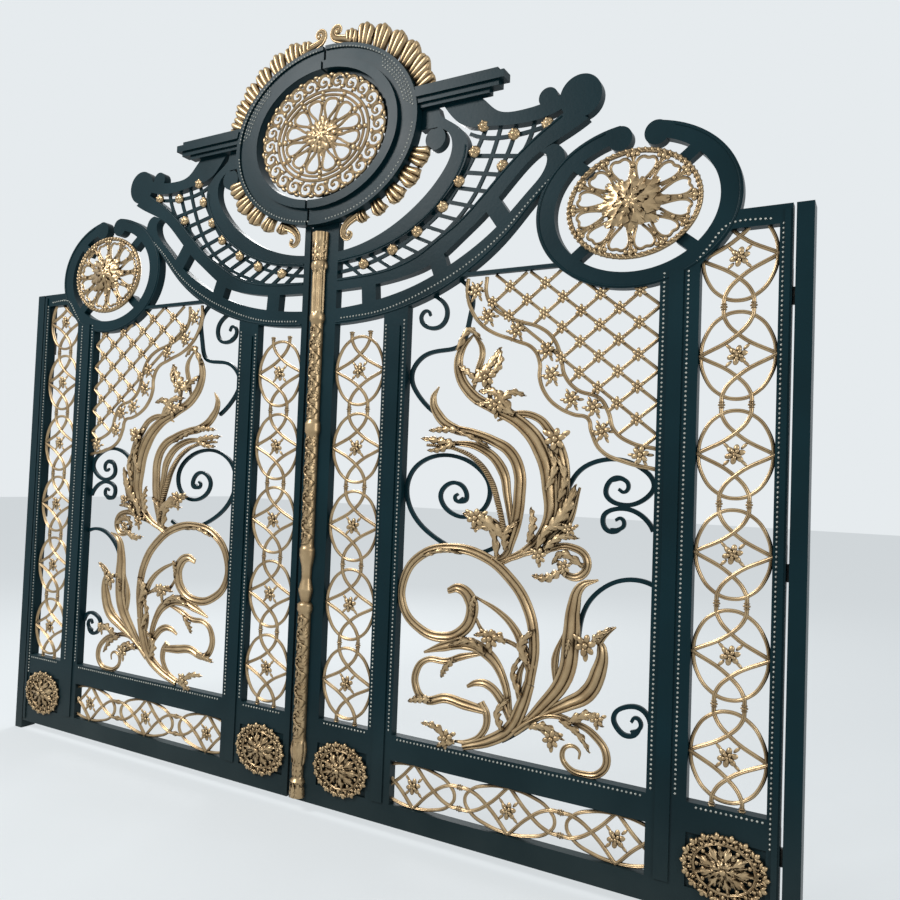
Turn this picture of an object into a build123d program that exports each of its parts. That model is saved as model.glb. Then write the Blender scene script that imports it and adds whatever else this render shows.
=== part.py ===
from build123d import *
import math
import os

# Wrought iron double-leaf driveway gate: two posts, two hinged leaves, an oval
# crown that the leaves share, and gold ornament in every panel.
# X runs along the gate, +Y goes behind it, Z is up. Millimetres.

# Posts and frame
GATE_WIDTH = 4000.0
POST_WIDTH = 54.0
POST_DEPTH = 80.0
POST_HEIGHT = 2397.0
POST_CLEARANCE = 10.0
LEAF_DEPTH = 40.0
LEAF_LIFT = 45.0
LEAF_GAP = 12.0
HANGING_STILE = 40.0
OUTER_PANEL = 252.0
SIDE_STILE = 136.0
INNER_STILE = 117.0
INNER_PANEL = 256.0
MEETING_STILE = 94.0
BOTTOM_RAIL = 85.0
KICK_HEIGHT = 179.0
MID_RAIL = 99.0
TOP_RAIL = 64.0

# Meeting line and the column that covers it
COLUMN_RADIUS = 36.0
COLUMN_FOOT = 62.0
COLUMN_OVERLAP = 56.0

# Hinges
HINGE_AXIS_INSET = 14.0
HINGE_AXIS_BEHIND = 16.0
HINGE_BARREL_RADIUS = 13.0
HINGE_PIN_RADIUS = 7.0
HINGE_PIN_CLEARANCE = 0.3
HINGE_HEIGHT = 120.0
HINGE_SLICE_GAP = 2.0
HINGE_TAB = 22.0
HINGE_INSET = 264.0

# Rings: the crown's and the two side ones, all wider than they are high
OVAL_RATIO = 1.25
RING_RISE = 555.0
RING_WIDTH = 998.0
RING_BAND = 136.0
RING_PROUD = 50.0
RING_BACK = 12.0
RING_FLANGE = 46.0
RING_FILLET = 22.0
RING_COVE_DEPTH = 18.0
RING_FILLET_DEPTH = 8.0
CENTRE_ROSETTE_GAP = 16.0
SIDE_RING_INSET = 240.0
SIDE_RING_RISE = 65.0
SIDE_RING_WIDTH = 752.0
SIDE_RING_BAND = 74.0
SIDE_RING_MOUTH = 44.0
SIDE_RING_CURL = 90.0
SIDE_ROSETTE_WIDTH = 500.0
STRUT_WIDTH = 44.0
ROSETTE_THICKNESS = 24.0
ROSETTE_PETALS = 12
KICK_ROSETTE_WIDTH = 298.0

# Crown
CORNICE_REACH = 893.0
CORNICE_HEIGHT = 88.0
CORNICE_RISE = 116.0
CORNICE_PROUD = 46.0
KNOB_WIDTH = 166.0
EAR_WIDTH = 94.0
CREASE = 5.0
BUD_WIDTH = 78.0
ARC_STRUT = 72.0
CREST_THICKNESS = 20.0
CREST_FRONT = 28.0
CREST_LEAF = 74.0
NET_BAR = 15.0
NET_RAYS = 12
NET_REACH = 240.0
NET_SLANT = 30.0
NET_LEVEL = 8.0
GUSSET_RISE = 111.0

# Panels
CHAIN_BAR = 13.0
CHAIN_PITCH = 333.0
CHAIN_WAIST = 96.0
FLOWER = 74.0
LATTICE_BAR = 12.0
LATTICE_STEP = 146.0
LATTICE_RISE = 115.0
LATTICE_DROP = 133.0
SCROLL_DEPTH = 14.0
SCROLL_FRONT = 2.0
BLACK_BAR = 16.0

SEAT = 0.3

# Reference drawing: the crown's curves and the main panel's scrolls are drawn at these sizes
DRAWN_SIDE_RING = 1404.0
DRAWN_RING_EDGE = 500.0
DRAWN_CROWN_END = 1060.0
DRAWN_POST_HEIGHT = 2397.0
DRAWN_PANEL = (1041.0, 1856.0)

half = GATE_WIDTH / 2
joint = LEAF_GAP / 2
post_inner = half - POST_WIDTH
leaf_outer = post_inner - POST_CLEARANCE
outer_right = leaf_outer - HANGING_STILE
outer_left = outer_right - OUTER_PANEL
main_right = outer_left - SIDE_STILE
inner_left = MEETING_STILE
inner_right = inner_left + INNER_PANEL
main_left = inner_right + INNER_STILE
kick_bottom = LEAF_LIFT + BOTTOM_RAIL
kick_top = kick_bottom + KICK_HEIGHT
panel_bottom = kick_top + MID_RAIL
rail_underside = POST_HEIGHT - TOP_RAIL
lattice_top = POST_HEIGHT - LATTICE_DROP
hinge_x = leaf_outer - HINGE_AXIS_INSET
hinge_y = LEAF_DEPTH + HINGE_AXIS_BEHIND
meeting_edge = joint - COLUMN_OVERLAP
post_centre_x = half - POST_WIDTH / 2
post_centre_y = POST_DEPTH / 2
ring_z = POST_HEIGHT + RING_RISE
ring_height = RING_WIDTH / OVAL_RATIO
ring_opening = RING_WIDTH - 2 * RING_BAND
side_x = outer_left - SIDE_RING_INSET
side_z = POST_HEIGHT + SIDE_RING_RISE
side_height = SIDE_RING_WIDTH / OVAL_RATIO
cornice_top = ring_z + CORNICE_RISE
cornice_foot = cornice_top - CORNICE_HEIGHT
middle = LEAF_DEPTH / 2


def plate(face, front=0.0, back=LEAF_DEPTH):
    """A flat piece cut to an outline in the plane of the gate, from front to back."""
    return Pos(0, back, 0) * (Plane.XZ * extrude(face, amount=back - front, dir=(0, 0, 1)))


def block(x0, x1, z0, z1, front=0.0, back=LEAF_DEPTH):
    """A straight bar of the frame."""
    return Pos((x0 + x1) / 2, (front + back) / 2, (z0 + z1) / 2) * Box(x1 - x0, back - front, z1 - z0)


def oval(width, x=0.0, z=0.0, ratio=OVAL_RATIO):
    return Pos(x, z) * Ellipse(width / 2, width / 2 / ratio)


def oval_ring(width, band, x=0.0, z=0.0):
    return oval(width, x, z) - oval(width - 2 * band, x, z)


def upright_oval(width, height, x, z):
    """An oval that may be taller than it is wide."""
    if width >= height:
        return Pos(x, z) * Ellipse(width / 2, height / 2)
    return Pos(x, z) * Rot(0, 0, 90) * Ellipse(height / 2, width / 2)


def on_oval(width, x, z, angle):
    """The point of an oval at an angle of its drawing circle."""
    turn = math.radians(angle)
    return x + width / 2 * math.cos(turn), z + width / 2 / OVAL_RATIO * math.sin(turn)


def outline(upper, lower):
    """A band between an upper and a lower edge, both drawn as smooth curves."""
    top = Spline(*upper)
    bottom = Spline(*lower)
    return make_face([top, Line(top @ 1, bottom @ 1), bottom, Line(bottom @ 0, top @ 0)])


def ribbon(points, start_width, end_width=None, stations=None):
    """A bar bent along a smooth curve, tapering from its start to its end."""
    path = Spline(*points)
    stations = stations or 2 * len(points)
    end_width = end_width or start_width
    left = []
    right = []
    for i in range(stations + 1):
        t = i / stations
        along = path % t
        across = Vector(-along.Y, along.X, 0) * (start_width + (end_width - start_width) * t) / 2
        left.append(path @ t + across)
        right.append(path @ t - across)
    a = Spline(*left)
    b = Spline(*right)
    return make_face([a, Line(a @ 1, b @ 1), b, Line(b @ 0, a @ 0)])


def bar(start, end, width):
    """A straight bar between two points."""
    length = math.hypot(end[0] - start[0], end[1] - start[1])
    lean = math.degrees(math.atan2(end[1] - start[1], end[0] - start[0]))
    centre = Pos((start[0] + end[0]) / 2, (start[1] + end[1]) / 2)
    return centre * Rot(0, 0, lean) * Rectangle(length, width)


def drawn(points):
    """Crown points of the drawing, with the outer part moved along with the side ring."""
    shift = side_x - DRAWN_SIDE_RING
    rise = POST_HEIGHT - DRAWN_POST_HEIGHT
    placed = []
    for x, z in points:
        share = (x - DRAWN_RING_EDGE) / (DRAWN_CROWN_END - DRAWN_RING_EDGE)
        placed.append((x + shift * min(max(share, 0), 1), z + rise))
    return placed


def in_panel(points):
    """Main panel points of the drawing, carried to the panel's own width and height."""
    across = (main_right - main_left) / DRAWN_PANEL[0]
    up = (lattice_top - panel_bottom) / DRAWN_PANEL[1]
    return [(main_left + u * across, panel_bottom + v * up) for u, v in points]


def in_bay(face, x0, x1, z0, z1):
    """Ornament trimmed to its opening, with a seating clearance all round."""
    opening = Rectangle(x1 - x0 - 2 * SEAT, z1 - z0 - 2 * SEAT)
    return face & (Pos((x0 + x1) / 2, (z0 + z1) / 2) * opening)


def joined(faces):
    return faces[0] + faces[1:]


pieces = {}


def both(name, solid):
    """A piece of the right leaf and its mirror image on the left leaf."""
    pieces["right_" + name] = solid
    pieces["left_" + name] = mirror(solid, about=Plane.YZ)


# Posts
right_post = block(post_inner, half, 0, POST_HEIGHT, 0, POST_DEPTH)
pieces["right_post"] = right_post
pieces["left_post"] = mirror(right_post, about=Plane.YZ)

# Hinges: three barrels a side, in the corner behind the leaf and beside the post
hinge_levels = [LEAF_LIFT + HINGE_INSET, (LEAF_LIFT + POST_HEIGHT) / 2, POST_HEIGHT - HINGE_INSET]
knuckle_height = (HINGE_HEIGHT - HINGE_SLICE_GAP) / 2


def post_hinge(level):
    """Lower knuckle with its pin, welded to the inner side of the post."""
    low = level - HINGE_HEIGHT / 2 + knuckle_height / 2
    knuckle = Pos(hinge_x, hinge_y, low) * Cylinder(HINGE_BARREL_RADIUS, knuckle_height)
    pin = Pos(hinge_x, hinge_y, level) * Cylinder(HINGE_PIN_RADIUS, HINGE_HEIGHT)
    tab = Box(post_inner - hinge_x, HINGE_BARREL_RADIUS, knuckle_height)
    return knuckle + pin + Pos((hinge_x + post_inner) / 2, hinge_y, low) * tab


def leaf_hinge(level):
    """Upper knuckle, bored for the pin and welded to the back of the leaf."""
    high = level + HINGE_HEIGHT / 2 - knuckle_height / 2
    knuckle = Pos(hinge_x, hinge_y, high) * Cylinder(HINGE_BARREL_RADIUS, knuckle_height)
    tab = Box(HINGE_TAB, hinge_y - LEAF_DEPTH, knuckle_height)
    bore = Cylinder(HINGE_PIN_RADIUS + HINGE_PIN_CLEARANCE, 2 * knuckle_height)
    welded = Pos(hinge_x - HINGE_TAB / 2, (LEAF_DEPTH + hinge_y) / 2, high) * tab
    return knuckle + welded - Pos(hinge_x, hinge_y, high) * bore


both("post_hinges", Compound([post_hinge(level) for level in hinge_levels]))
both("leaf_hinges", Compound([leaf_hinge(level) for level in hinge_levels]))

# Side ring: an open C whose ends curl in over four struts, with the corner gusset
ring_top = side_z + side_height / 2
mouth_width = SIDE_RING_MOUTH + SIDE_RING_CURL
mouth = Pos(side_x + SIDE_RING_MOUTH / 4, ring_top) * Rectangle(mouth_width, 2 * SIDE_RING_CURL)
side_faces = [oval_ring(SIDE_RING_WIDTH, SIDE_RING_BAND, side_x, side_z) - mouth]
for side in (-1, 1):
    curl_x = side_x + SIDE_RING_MOUTH / 4 + side * mouth_width / 2
    curl_z = ring_top - SIDE_RING_CURL * 0.56
    side_faces.append(Pos(curl_x, curl_z) * Circle(SIDE_RING_CURL / 2))
for angle in (45, 135, 225, 315):
    inner_end = on_oval(SIDE_ROSETTE_WIDTH - 2 * CHAIN_BAR, side_x, side_z, angle)
    outer_end = on_oval(SIDE_RING_WIDTH - SIDE_RING_BAND, side_x, side_z, angle)
    side_faces.append(bar(inner_end, outer_end, STRUT_WIDTH))
side_filled = oval(SIDE_RING_WIDTH, side_x, side_z)
gusset_foot = rail_underside - GUSSET_RISE
gusset_head = outer_left + TOP_RAIL * 1.6
gusset = Polygon((main_right, gusset_foot), (outer_left, gusset_foot), (gusset_head, rail_underside),
                 (gusset_head + TOP_RAIL, rail_underside), (gusset_head + TOP_RAIL, POST_HEIGHT),
                 (gusset_head - TOP_RAIL, POST_HEIGHT), align=None) - side_filled
side_faces.append(gusset)
both("side_ring", plate(joined(side_faces)))
side_clear = oval(SIDE_RING_WIDTH + 2 * SEAT, side_x, side_z)
gusset_clear = Polygon((outer_left - SEAT, gusset_foot - SEAT), (gusset_head + SEAT, rail_underside),
                       (outer_left - SEAT, rail_underside), align=None)


def rosette(width, reach, x, z):
    """A pierced oval rosette: long petals about a boss, and a band of small rings outside them."""
    hub = width * 0.17
    rim = reach * width / 2
    face = oval(width, x, z)
    holes = []
    for i in range(ROSETTE_PETALS):
        angle = 360 / ROSETTE_PETALS * (i + 0.5)
        opening = math.pi * rim / ROSETTE_PETALS * 1.25
        holes.append(Rot(0, 0, angle) * Pos((hub + rim) / 2, 0) * Ellipse((rim - hub) / 2, opening / 2))
    band = width / 2 - rim
    if band > FLOWER / 2:
        for i in range(2 * ROSETTE_PETALS):
            angle = 360 / (2 * ROSETTE_PETALS) * i
            holes.append(Rot(0, 0, angle) * Pos(rim + band * 0.56, 0) * Circle(band * 0.25))
    for hole in holes:
        face = face - Pos(x, z) * scale(hole, (1, 1 / OVAL_RATIO, 1))
    return face


# Side rosettes, laid on the struts
both("side_rosette", plate(rosette(SIDE_ROSETTE_WIDTH, 0.9, side_x, side_z), -ROSETTE_THICKNESS, 0))

# Outer arc: from the column to the hook that turns up round the side ring
arc_lower = [(MEETING_STILE, 2112), (300, 2128), (500, 2172), (700, 2257), (900, 2402), (1010, 2520),
             (1100, 2612), (1137, 2668), (1128, 2712), (1085, 2738)]
arc_upper = [(MEETING_STILE, 2180), (310, 2203), (500, 2250), (700, 2340), (870, 2455), (1000, 2580),
             (1055, 2645), (1064, 2690), (1030, 2718)]
middle_lower = [(MEETING_STILE, 2261), (300, 2270), (440, 2290), (560, 2325), (700, 2420), (800, 2500),
                (930, 2630), (1020, 2708), (1090, 2744), (1225, 2812)]
middle_upper = [(MEETING_STILE, 2312), (300, 2325), (400, 2342), (500, 2376), (600, 2435), (700, 2500),
                (800, 2590), (900, 2688), (1000, 2770), (1150, 2862)]
strut_ends = [[(270, 2180), (262, 2290)], [(622, 2280), (586, 2375)], [(900, 2455), (832, 2550)]]
under_arc = Spline(*drawn(arc_lower))
arc_face = outline(drawn(arc_upper), drawn(arc_lower))
middle_face = outline(drawn(middle_upper), drawn(middle_lower))
knob = Pos(*drawn([(1192, 2902)])[0]) * Circle(KNOB_WIDTH / 2)
middle_face = middle_face + knob
struts = [bar(*drawn(ends), ARC_STRUT) for ends in strut_ends]
both("outer_arc", plate(joined([arc_face] + struts) - side_clear - middle_face))
both("middle_band", plate(middle_face))

# Inner band: rises beside the ring, turns in to the plate under the cornice and ends in an ear
inner_lower = [(MEETING_STILE, 2384), (300, 2415), (500, 2500), (640, 2620), (715, 2745), (722, 2800),
               (690, 2865), (630, 2912), (575, 2955)]
inner_upper = [(MEETING_STILE, 2432), (300, 2480), (480, 2580), (600, 2695), (648, 2800), (638, 2850),
               (600, 2885), (540, 2900), (470, 2902)]
ring_clear = oval(RING_WIDTH + 2 * SEAT, 0, ring_z)
cornice_seat = [(400, 2902), (470, 2895), (600, 2895), (590, 2940), (576, 2982), (400, 2982)]
cornice_plate = Polygon(*drawn(cornice_seat), align=None)
ear = Pos(*drawn([(568, 2850)])[0]) * Circle(EAR_WIDTH / 2)
crease = Pos(*drawn([(528, 2894)])[0]) * Rectangle(EAR_WIDTH, CREASE)
inner_face = outline(drawn(inner_upper), drawn(inner_lower)) + ear + cornice_plate - crease - ring_clear
below_cornice = Pos(0, cornice_foot - half - SEAT) * Rectangle(2 * half, 2 * half)
inner_face = inner_face & below_cornice
both("inner_band", plate(inner_face))

# Bracket under the cornice, swept out to the knob, with a bud on its back
bracket_upper = [(700, 3000), (780, 2975), (850, 2912), (950, 2895), (1050, 2905), (1120, 2925)]
bracket_lower = [(590, 3000), (632, 2940), (700, 2880), (800, 2858), (950, 2842), (1060, 2850), (1120, 2868)]
bracket_face = outline(drawn(bracket_upper), drawn(bracket_lower))
bracket_face = bracket_face + Pos(*drawn([(1062, 2922)])[0]) * Circle(BUD_WIDTH / 2)
bracket_face = bracket_face - middle_face

# Net: bars that rise along the band, crossed by slanting ones that level out towards the knob
net_front = middle - NET_BAR / 3
net_back = middle + NET_BAR / 3
net_inner = Spline(*drawn(inner_lower[:6]))
net_bars = [
    [(MEETING_STILE, 2345), (228, 2365), (373, 2412), (492, 2475), (610, 2563), (682, 2657), (748, 2768),
     (795, 2868)],
    [(330, 2325), (440, 2365), (532, 2404), (655, 2488), (755, 2604), (809, 2711), (858, 2860)],
    [(815, 2595), (840, 2627), (863, 2681), (894, 2750), (925, 2860)],
    [(950, 2725), (978, 2773), (1004, 2860)],
    [(720, 2848), (800, 2818), (920, 2808), (1060, 2822), (1160, 2845)],
]
net_faces = [ribbon(drawn(points), NET_BAR) for points in net_bars]
for i in range(NET_RAYS):
    share = (i + 0.4) / NET_RAYS
    slant = math.radians(NET_SLANT * (share - 1) - NET_LEVEL)
    start = net_inner @ share
    foot = (start.X - NET_BAR * math.cos(slant), start.Y - NET_BAR * math.sin(slant))
    head = (start.X + NET_REACH * math.cos(slant), start.Y + NET_REACH * math.sin(slant))
    net_faces.append(bar(foot, head, NET_BAR))
net_upper = drawn([(575, 2955), (632, 2936), (700, 2876), (800, 2855), (950, 2840), (1060, 2848),
                  (1120, 2866)])
net_field = make_face([Spline(*drawn(inner_lower)), Spline(*net_upper),
                       Line(net_upper[-1], drawn(middle_upper)[-1]), Spline(*drawn(middle_upper)),
                       Line(drawn(middle_upper)[0], drawn(inner_lower)[0])])
net = plate(joined(net_faces), net_front, net_back) & plate(net_field, net_front - 1, net_back + 1)
for neighbour in (middle_face, inner_face, bracket_face):
    net = net - plate(neighbour, net_front - 1, net_back + 1)
both("net_band", net)

# Cornice arm in four stepped mouldings, each a share of the height, of the reach and of the projection
cornice_steps = [(1.0, 0.8, 0.965, 0.8), (0.8, 0.45, 1.0, 1.0), (0.45, 0.2, 0.97, 0.75),
                 (0.2, 0.0, 0.92, 0.5)]
cornice = plate(bracket_face)
for top, foot, reach, proud in cornice_steps:
    z1 = cornice_foot + top * CORNICE_HEIGHT
    z0 = cornice_foot + foot * CORNICE_HEIGHT
    step = block(0, CORNICE_REACH * reach, z0, z1, -CORNICE_PROUD * proud, RING_BACK)
    cornice = cornice + (step - plate(ring_clear, -CORNICE_PROUD - 1, RING_BACK + 1))
both("cornice", cornice)

# Split ring of the crown: flange round the rosette, cove, and fillet at the rim
ring_front = -RING_PROUD
cove_front = ring_front + RING_COVE_DEPTH
ring = plate(oval_ring(RING_WIDTH, RING_BAND, 0, ring_z), cove_front, RING_BACK)
flange_width = ring_opening + 2 * RING_FLANGE
ring = ring + plate(oval_ring(flange_width, RING_FLANGE, 0, ring_z), ring_front, cove_front)
ring = ring + plate(oval_ring(RING_WIDTH, RING_FILLET, 0, ring_z), cove_front - RING_FILLET_DEPTH, cove_front)
high = Pos(half / 2 + joint, 0, ring_z + half / 2) * Box(half, half, half)
low = Pos(half / 2 + meeting_edge, 0, ring_z - half / 2) * Box(half, half, half)
pieces["left_ring_half"] = ring & (Pos(-half - 2 * joint, 0, 0) * high + Pos(-half - 2 * joint, 0, 0) * low)

# Rosette of the crown, seated on a lip inside the right half of the ring
rosette_width = ring_opening - 2 * CENTRE_ROSETTE_GAP
rosette_front = ring_front + RING_FILLET_DEPTH
rosette_back = rosette_front + ROSETTE_THICKNESS
lip_face = oval(ring_opening + 2, 0, ring_z) - oval(rosette_width - 2 * CHAIN_BAR, 0, ring_z)
lip = plate(lip_face, rosette_back, RING_BACK) & (Pos(half / 2 + joint, 0, ring_z) * Box(half, half, half))
pieces["right_ring_half"] = (ring & (high + low)) + lip
pieces["centre_rosette"] = plate(rosette(rosette_width, 0.62, 0, ring_z), rosette_front, rosette_back)

# Cresting: fluted leaves round the ring, each an angle and a reach, and a scroll at each end
leaves = [(17, 92), (26.5, 104), (36.5, 108), (47, 108), (57.5, 108), (67.5, 100), (75.5, 72), (-22, 88),
          (-33, 92), (-44, 84), (-55, 70), (-65, 52)]
crest_faces = []
for angle, reach in leaves:
    x, z = on_oval(RING_WIDTH, 0, ring_z, angle)
    lean = math.degrees(math.atan2(math.sin(math.radians(angle)) * OVAL_RATIO, math.cos(math.radians(angle))))
    crest_faces.append(Pos(x, z) * Rot(0, 0, lean) * Pos(reach / 2 - CREST_LEAF / 8, 0) * Ellipse(
        reach / 2 + CREST_LEAF / 8, CREST_LEAF / 2 * min(1, reach / CREST_LEAF)))
crest_foot = ring_z + ring_height / 2
lower_foot = ring_z - ring_height / 2
upper_scroll = [(118, crest_foot - 8), (90, crest_foot + 38), (52, crest_foot + 62), (20, crest_foot + 60)]
crest_faces.append(ribbon(upper_scroll, 44, 14))
crest_faces.append(Pos(34, crest_foot + 82) * Circle(20))
lower_scroll = [(190, lower_foot + 18), (150, lower_foot), (126, lower_foot - 24), (124, lower_foot - 52)]
crest_faces.append(ribbon(lower_scroll, 40, 14))
crest_faces.append(Pos(142, lower_foot - 56) * Circle(20))
cornice_clear = Pos(0, (cornice_top + cornice_foot) / 2) * Rectangle(2 * CORNICE_REACH,
                    CORNICE_HEIGHT + 2 * SEAT)
crest_face = joined(crest_faces) - ring_clear - cornice_clear
both("cresting", plate(crest_face, -CREST_FRONT, CREST_THICKNESS - CREST_FRONT))

# Stiles, cut to the curves that they carry, and rails between them
above = 2 * POST_HEIGHT
arc_end = under_arc @ 1
arc_cap = make_face([under_arc, Line(arc_end, (arc_end.X, above)), Line((arc_end.X, above),
                    (inner_left, above)), Line((inner_left, above), under_arc @ 0)])
hanging = block(outer_right, leaf_outer, LEAF_LIFT, POST_HEIGHT)
side_stile = block(main_right, outer_left, LEAF_LIFT, gusset_foot) - plate(side_filled, -1, LEAF_DEPTH + 1)
inner_stile = block(inner_right, main_left, LEAF_LIFT, POST_HEIGHT) - plate(arc_cap, -1, LEAF_DEPTH + 1)
meeting_top = ring_z - ring_height / 2 + RING_FILLET
ring_cap = plate(oval(RING_WIDTH, 0, ring_z), -1, LEAF_DEPTH + 1)
meeting_right = block(meeting_edge, inner_left, LEAF_LIFT, meeting_top) - ring_cap
meeting_left = block(-inner_left, -COLUMN_OVERLAP - joint, LEAF_LIFT, meeting_top) - ring_cap
leaf_stiles = [hanging, side_stile, inner_stile]
pieces["right_stiles"] = Compound(leaf_stiles + [meeting_right])
pieces["left_stiles"] = Compound([mirror(stile, about=Plane.YZ) for stile in leaf_stiles] + [meeting_left])
bays = [(inner_left, inner_right), (main_left, main_right), (outer_left, outer_right)]
rails = [block(gusset_head + TOP_RAIL, outer_right, rail_underside, POST_HEIGHT)]
for x0, x1 in bays:
    rails.append(block(x0, x1, LEAF_LIFT, kick_bottom))
    rails.append(block(x0, x1, kick_top, panel_bottom))
both("rails", Compound(rails))

# Kick panels: plates with rosettes under the narrow panels, an open chain under the main one
narrow = [bays[0], bays[2]]
plate_front = LEAF_DEPTH * 0.2
plate_back = LEAF_DEPTH * 0.6
kick_z = (kick_bottom + kick_top) / 2
both("kick_plates", Compound([block(x0, x1, kick_bottom, kick_top, plate_front, plate_back) for x0,
     x1 in narrow]))
kick_discs = []
for x0, x1 in narrow:
    centre = ((x0 + x1) / 2, kick_z)
    back = plate(oval(KICK_ROSETTE_WIDTH, *centre), -ROSETTE_THICKNESS / 3, 0)
    relief = plate(rosette(KICK_ROSETTE_WIDTH, 0.88, *centre), -ROSETTE_THICKNESS, -ROSETTE_THICKNESS / 3)
    kick_discs.append(back + relief)
both("kick_rosettes", Compound(kick_discs))


# Chains: an oval round each flower, and two strands that cross between them and swell at each waist
def chain_face(x0, x1, z0, z1, first, pitch, count, upright):
    """A whole chain trimmed to its bay, upright or lying."""
    width = (x1 - x0 if upright else z1 - z0) - 2 * SEAT
    axis = (x0 + x1) / 2 if upright else (z0 + z1) / 2
    waist = CHAIN_WAIST if upright else CHAIN_WAIST * 0.86

    def place(along, across):
        return (axis + across, along) if upright else (along, axis + across)

    swell = [(0, -width / 2), (0.2, -CHAIN_BAR / 2), (0.38, 0.46 * waist), (0.5, waist / 2),
             (0.62, 0.46 * waist), (0.8, -CHAIN_BAR / 2), (1, -width / 2)]
    strand = Spline(*[(share * pitch, off) for share, off in swell])
    flower = min((strand @ (i / 40)).length for i in range(40))
    faces = []
    for i in range(count):
        centre = place(first + i * pitch, 0)
        size = (width, 0.92 * pitch) if upright else (0.92 * pitch, width)
        inside = (size[0] - 2 * CHAIN_BAR, size[1] - 2 * CHAIN_BAR)
        faces.append(upright_oval(*size, *centre) - upright_oval(*inside, *centre))
        faces.append(Pos(*centre) * Circle(flower))
    for i in range(-1, count):
        for side in (-1, 1):
            points = [place(first + (i + share) * pitch, side * off) for share, off in swell]
            faces.append(ribbon(points, CHAIN_BAR))
    return in_bay(joined(faces), x0, x1, z0, z1)


chain_front = middle - CHAIN_BAR / 2
chain_back = middle + CHAIN_BAR / 2
first_flower = panel_bottom + CHAIN_PITCH / 2
outer_links = chain_face(outer_left, outer_right, panel_bottom, rail_underside, first_flower, CHAIN_PITCH,
                         6, True)
inner_top = panel_bottom + 5 * CHAIN_PITCH
inner_links = chain_face(inner_left, inner_right, panel_bottom, inner_top, first_flower, CHAIN_PITCH, 5, True)
kick_pitch = (main_right - main_left) / 2.5
kick_links = chain_face(main_left, main_right, kick_bottom, kick_top, main_left + kick_pitch / 4,
                        kick_pitch, 3, False)
both("outer_chain", plate(outer_links - gusset_clear - side_clear, chain_front, chain_back))
both("inner_chain", plate(inner_links, chain_front, chain_back))
both("kick_chain", plate(kick_links, chain_front, chain_back))

# Column: a turned half-round over the meeting line, each entry a share of its height and of its radius
column_top = meeting_top - RING_FILLET - RING_PROUD / 2
column_profile = [(0.0, 1.0), (0.014, 1.0), (0.02, 0.72), (0.028, 1.0), (0.034, 0.6), (0.055, 0.62),
                  (0.08, 1.0), (0.1, 0.74), (0.32, 0.74), (0.325, 1.0), (0.335, 1.0), (0.34, 0.55),
                  (0.36, 0.95), (0.38, 0.55), (0.4, 0.6), (0.42, 1.0), (0.432, 1.0), (0.437, 0.74),
                  (0.635, 0.74), (0.64, 0.95), (0.655, 0.95), (0.66, 0.78), (0.835, 0.78), (0.84, 1.0),
                  (0.848, 1.0), (0.853, 0.84), (0.93, 0.84), (0.935, 1.0), (0.943, 1.0), (0.948, 0.82),
                  (0.975, 0.95), (1.0, 1.08)]
column_height = column_top - COLUMN_FOOT
column_edge = [(COLUMN_RADIUS * r, 0, COLUMN_FOOT + column_height * h) for h, r in column_profile]
column_wire = Polyline((0, 0, COLUMN_FOOT), *column_edge, (0, 0, column_top), close=True)
turned = revolve(make_face(column_wire), Axis.Z, 360)
pieces["column"] = turned & block(-half, half, 0, above, -2 * COLUMN_RADIUS, 0)

# Main panel: lattice corner behind an ogee border
border_outer = [(268, 1850), (266, 1790), (295, 1710), (335, 1662), (385, 1628), (485, 1590), (560, 1555),
                (588, 1500), (590, 1440), (620, 1375), (670, 1330), (730, 1303), (785, 1288), (800, 1240),
                (838, 1172), (935, 1130), (1046, 1108)]
border_inner = [(352, 1850), (350, 1790), (375, 1737), (435, 1690), (495, 1665), (585, 1635), (640, 1590),
                (672, 1520), (690, 1450), (740, 1395), (830, 1360), (862, 1310), (885, 1245), (950, 1200),
                (1046, 1180)]
inner_edge = Spline(*in_panel(border_inner))
corner_x = main_right + SEAT
lattice_field = make_face([inner_edge, Line(inner_edge @ 1, (corner_x, lattice_top)),
                           Line((corner_x, lattice_top), inner_edge @ 0)])
slope = math.degrees(math.atan(LATTICE_RISE / LATTICE_STEP))
node_x = side_x - LATTICE_STEP * 3.28
node_z = side_z - 2.19 * LATTICE_RISE
bars = []
for i in range(-7, 12):
    for lean in (-slope, slope):
        bars.append(Pos(node_x + i * LATTICE_STEP, node_z) * Rot(0, 0, lean) * Rectangle(half * 1.5,
                    LATTICE_BAR))
lattice = plate(joined(bars), middle - LATTICE_BAR / 2, middle + LATTICE_BAR / 2)
lattice = lattice & plate(lattice_field, 0, LEAF_DEPTH)
borders = joined([ribbon(in_panel(border_outer), LATTICE_BAR), ribbon(in_panel(border_inner), LATTICE_BAR)])
links = [bar(*in_panel(pair), LATTICE_BAR) for pair in
         ([(268, 1828), (352, 1828)], [(330, 1668), (400, 1712)], [(485, 1590), (520, 1660)],
          [(588, 1500), (678, 1505)], [(660, 1335), (700, 1435)], [(800, 1240), (885, 1245)],
          [(960, 1125), (985, 1190)])]
border_face = in_bay(joined([borders] + links), main_left, main_right, panel_bottom, lattice_top)
lattice = lattice + plate(border_face, middle - LATTICE_BAR / 2, middle + LATTICE_BAR / 2)
lattice = lattice & block(main_left + SEAT, main_right - SEAT, panel_bottom, lattice_top)
both("corner_lattice", lattice - plate(side_clear, 0, LEAF_DEPTH))

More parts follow.
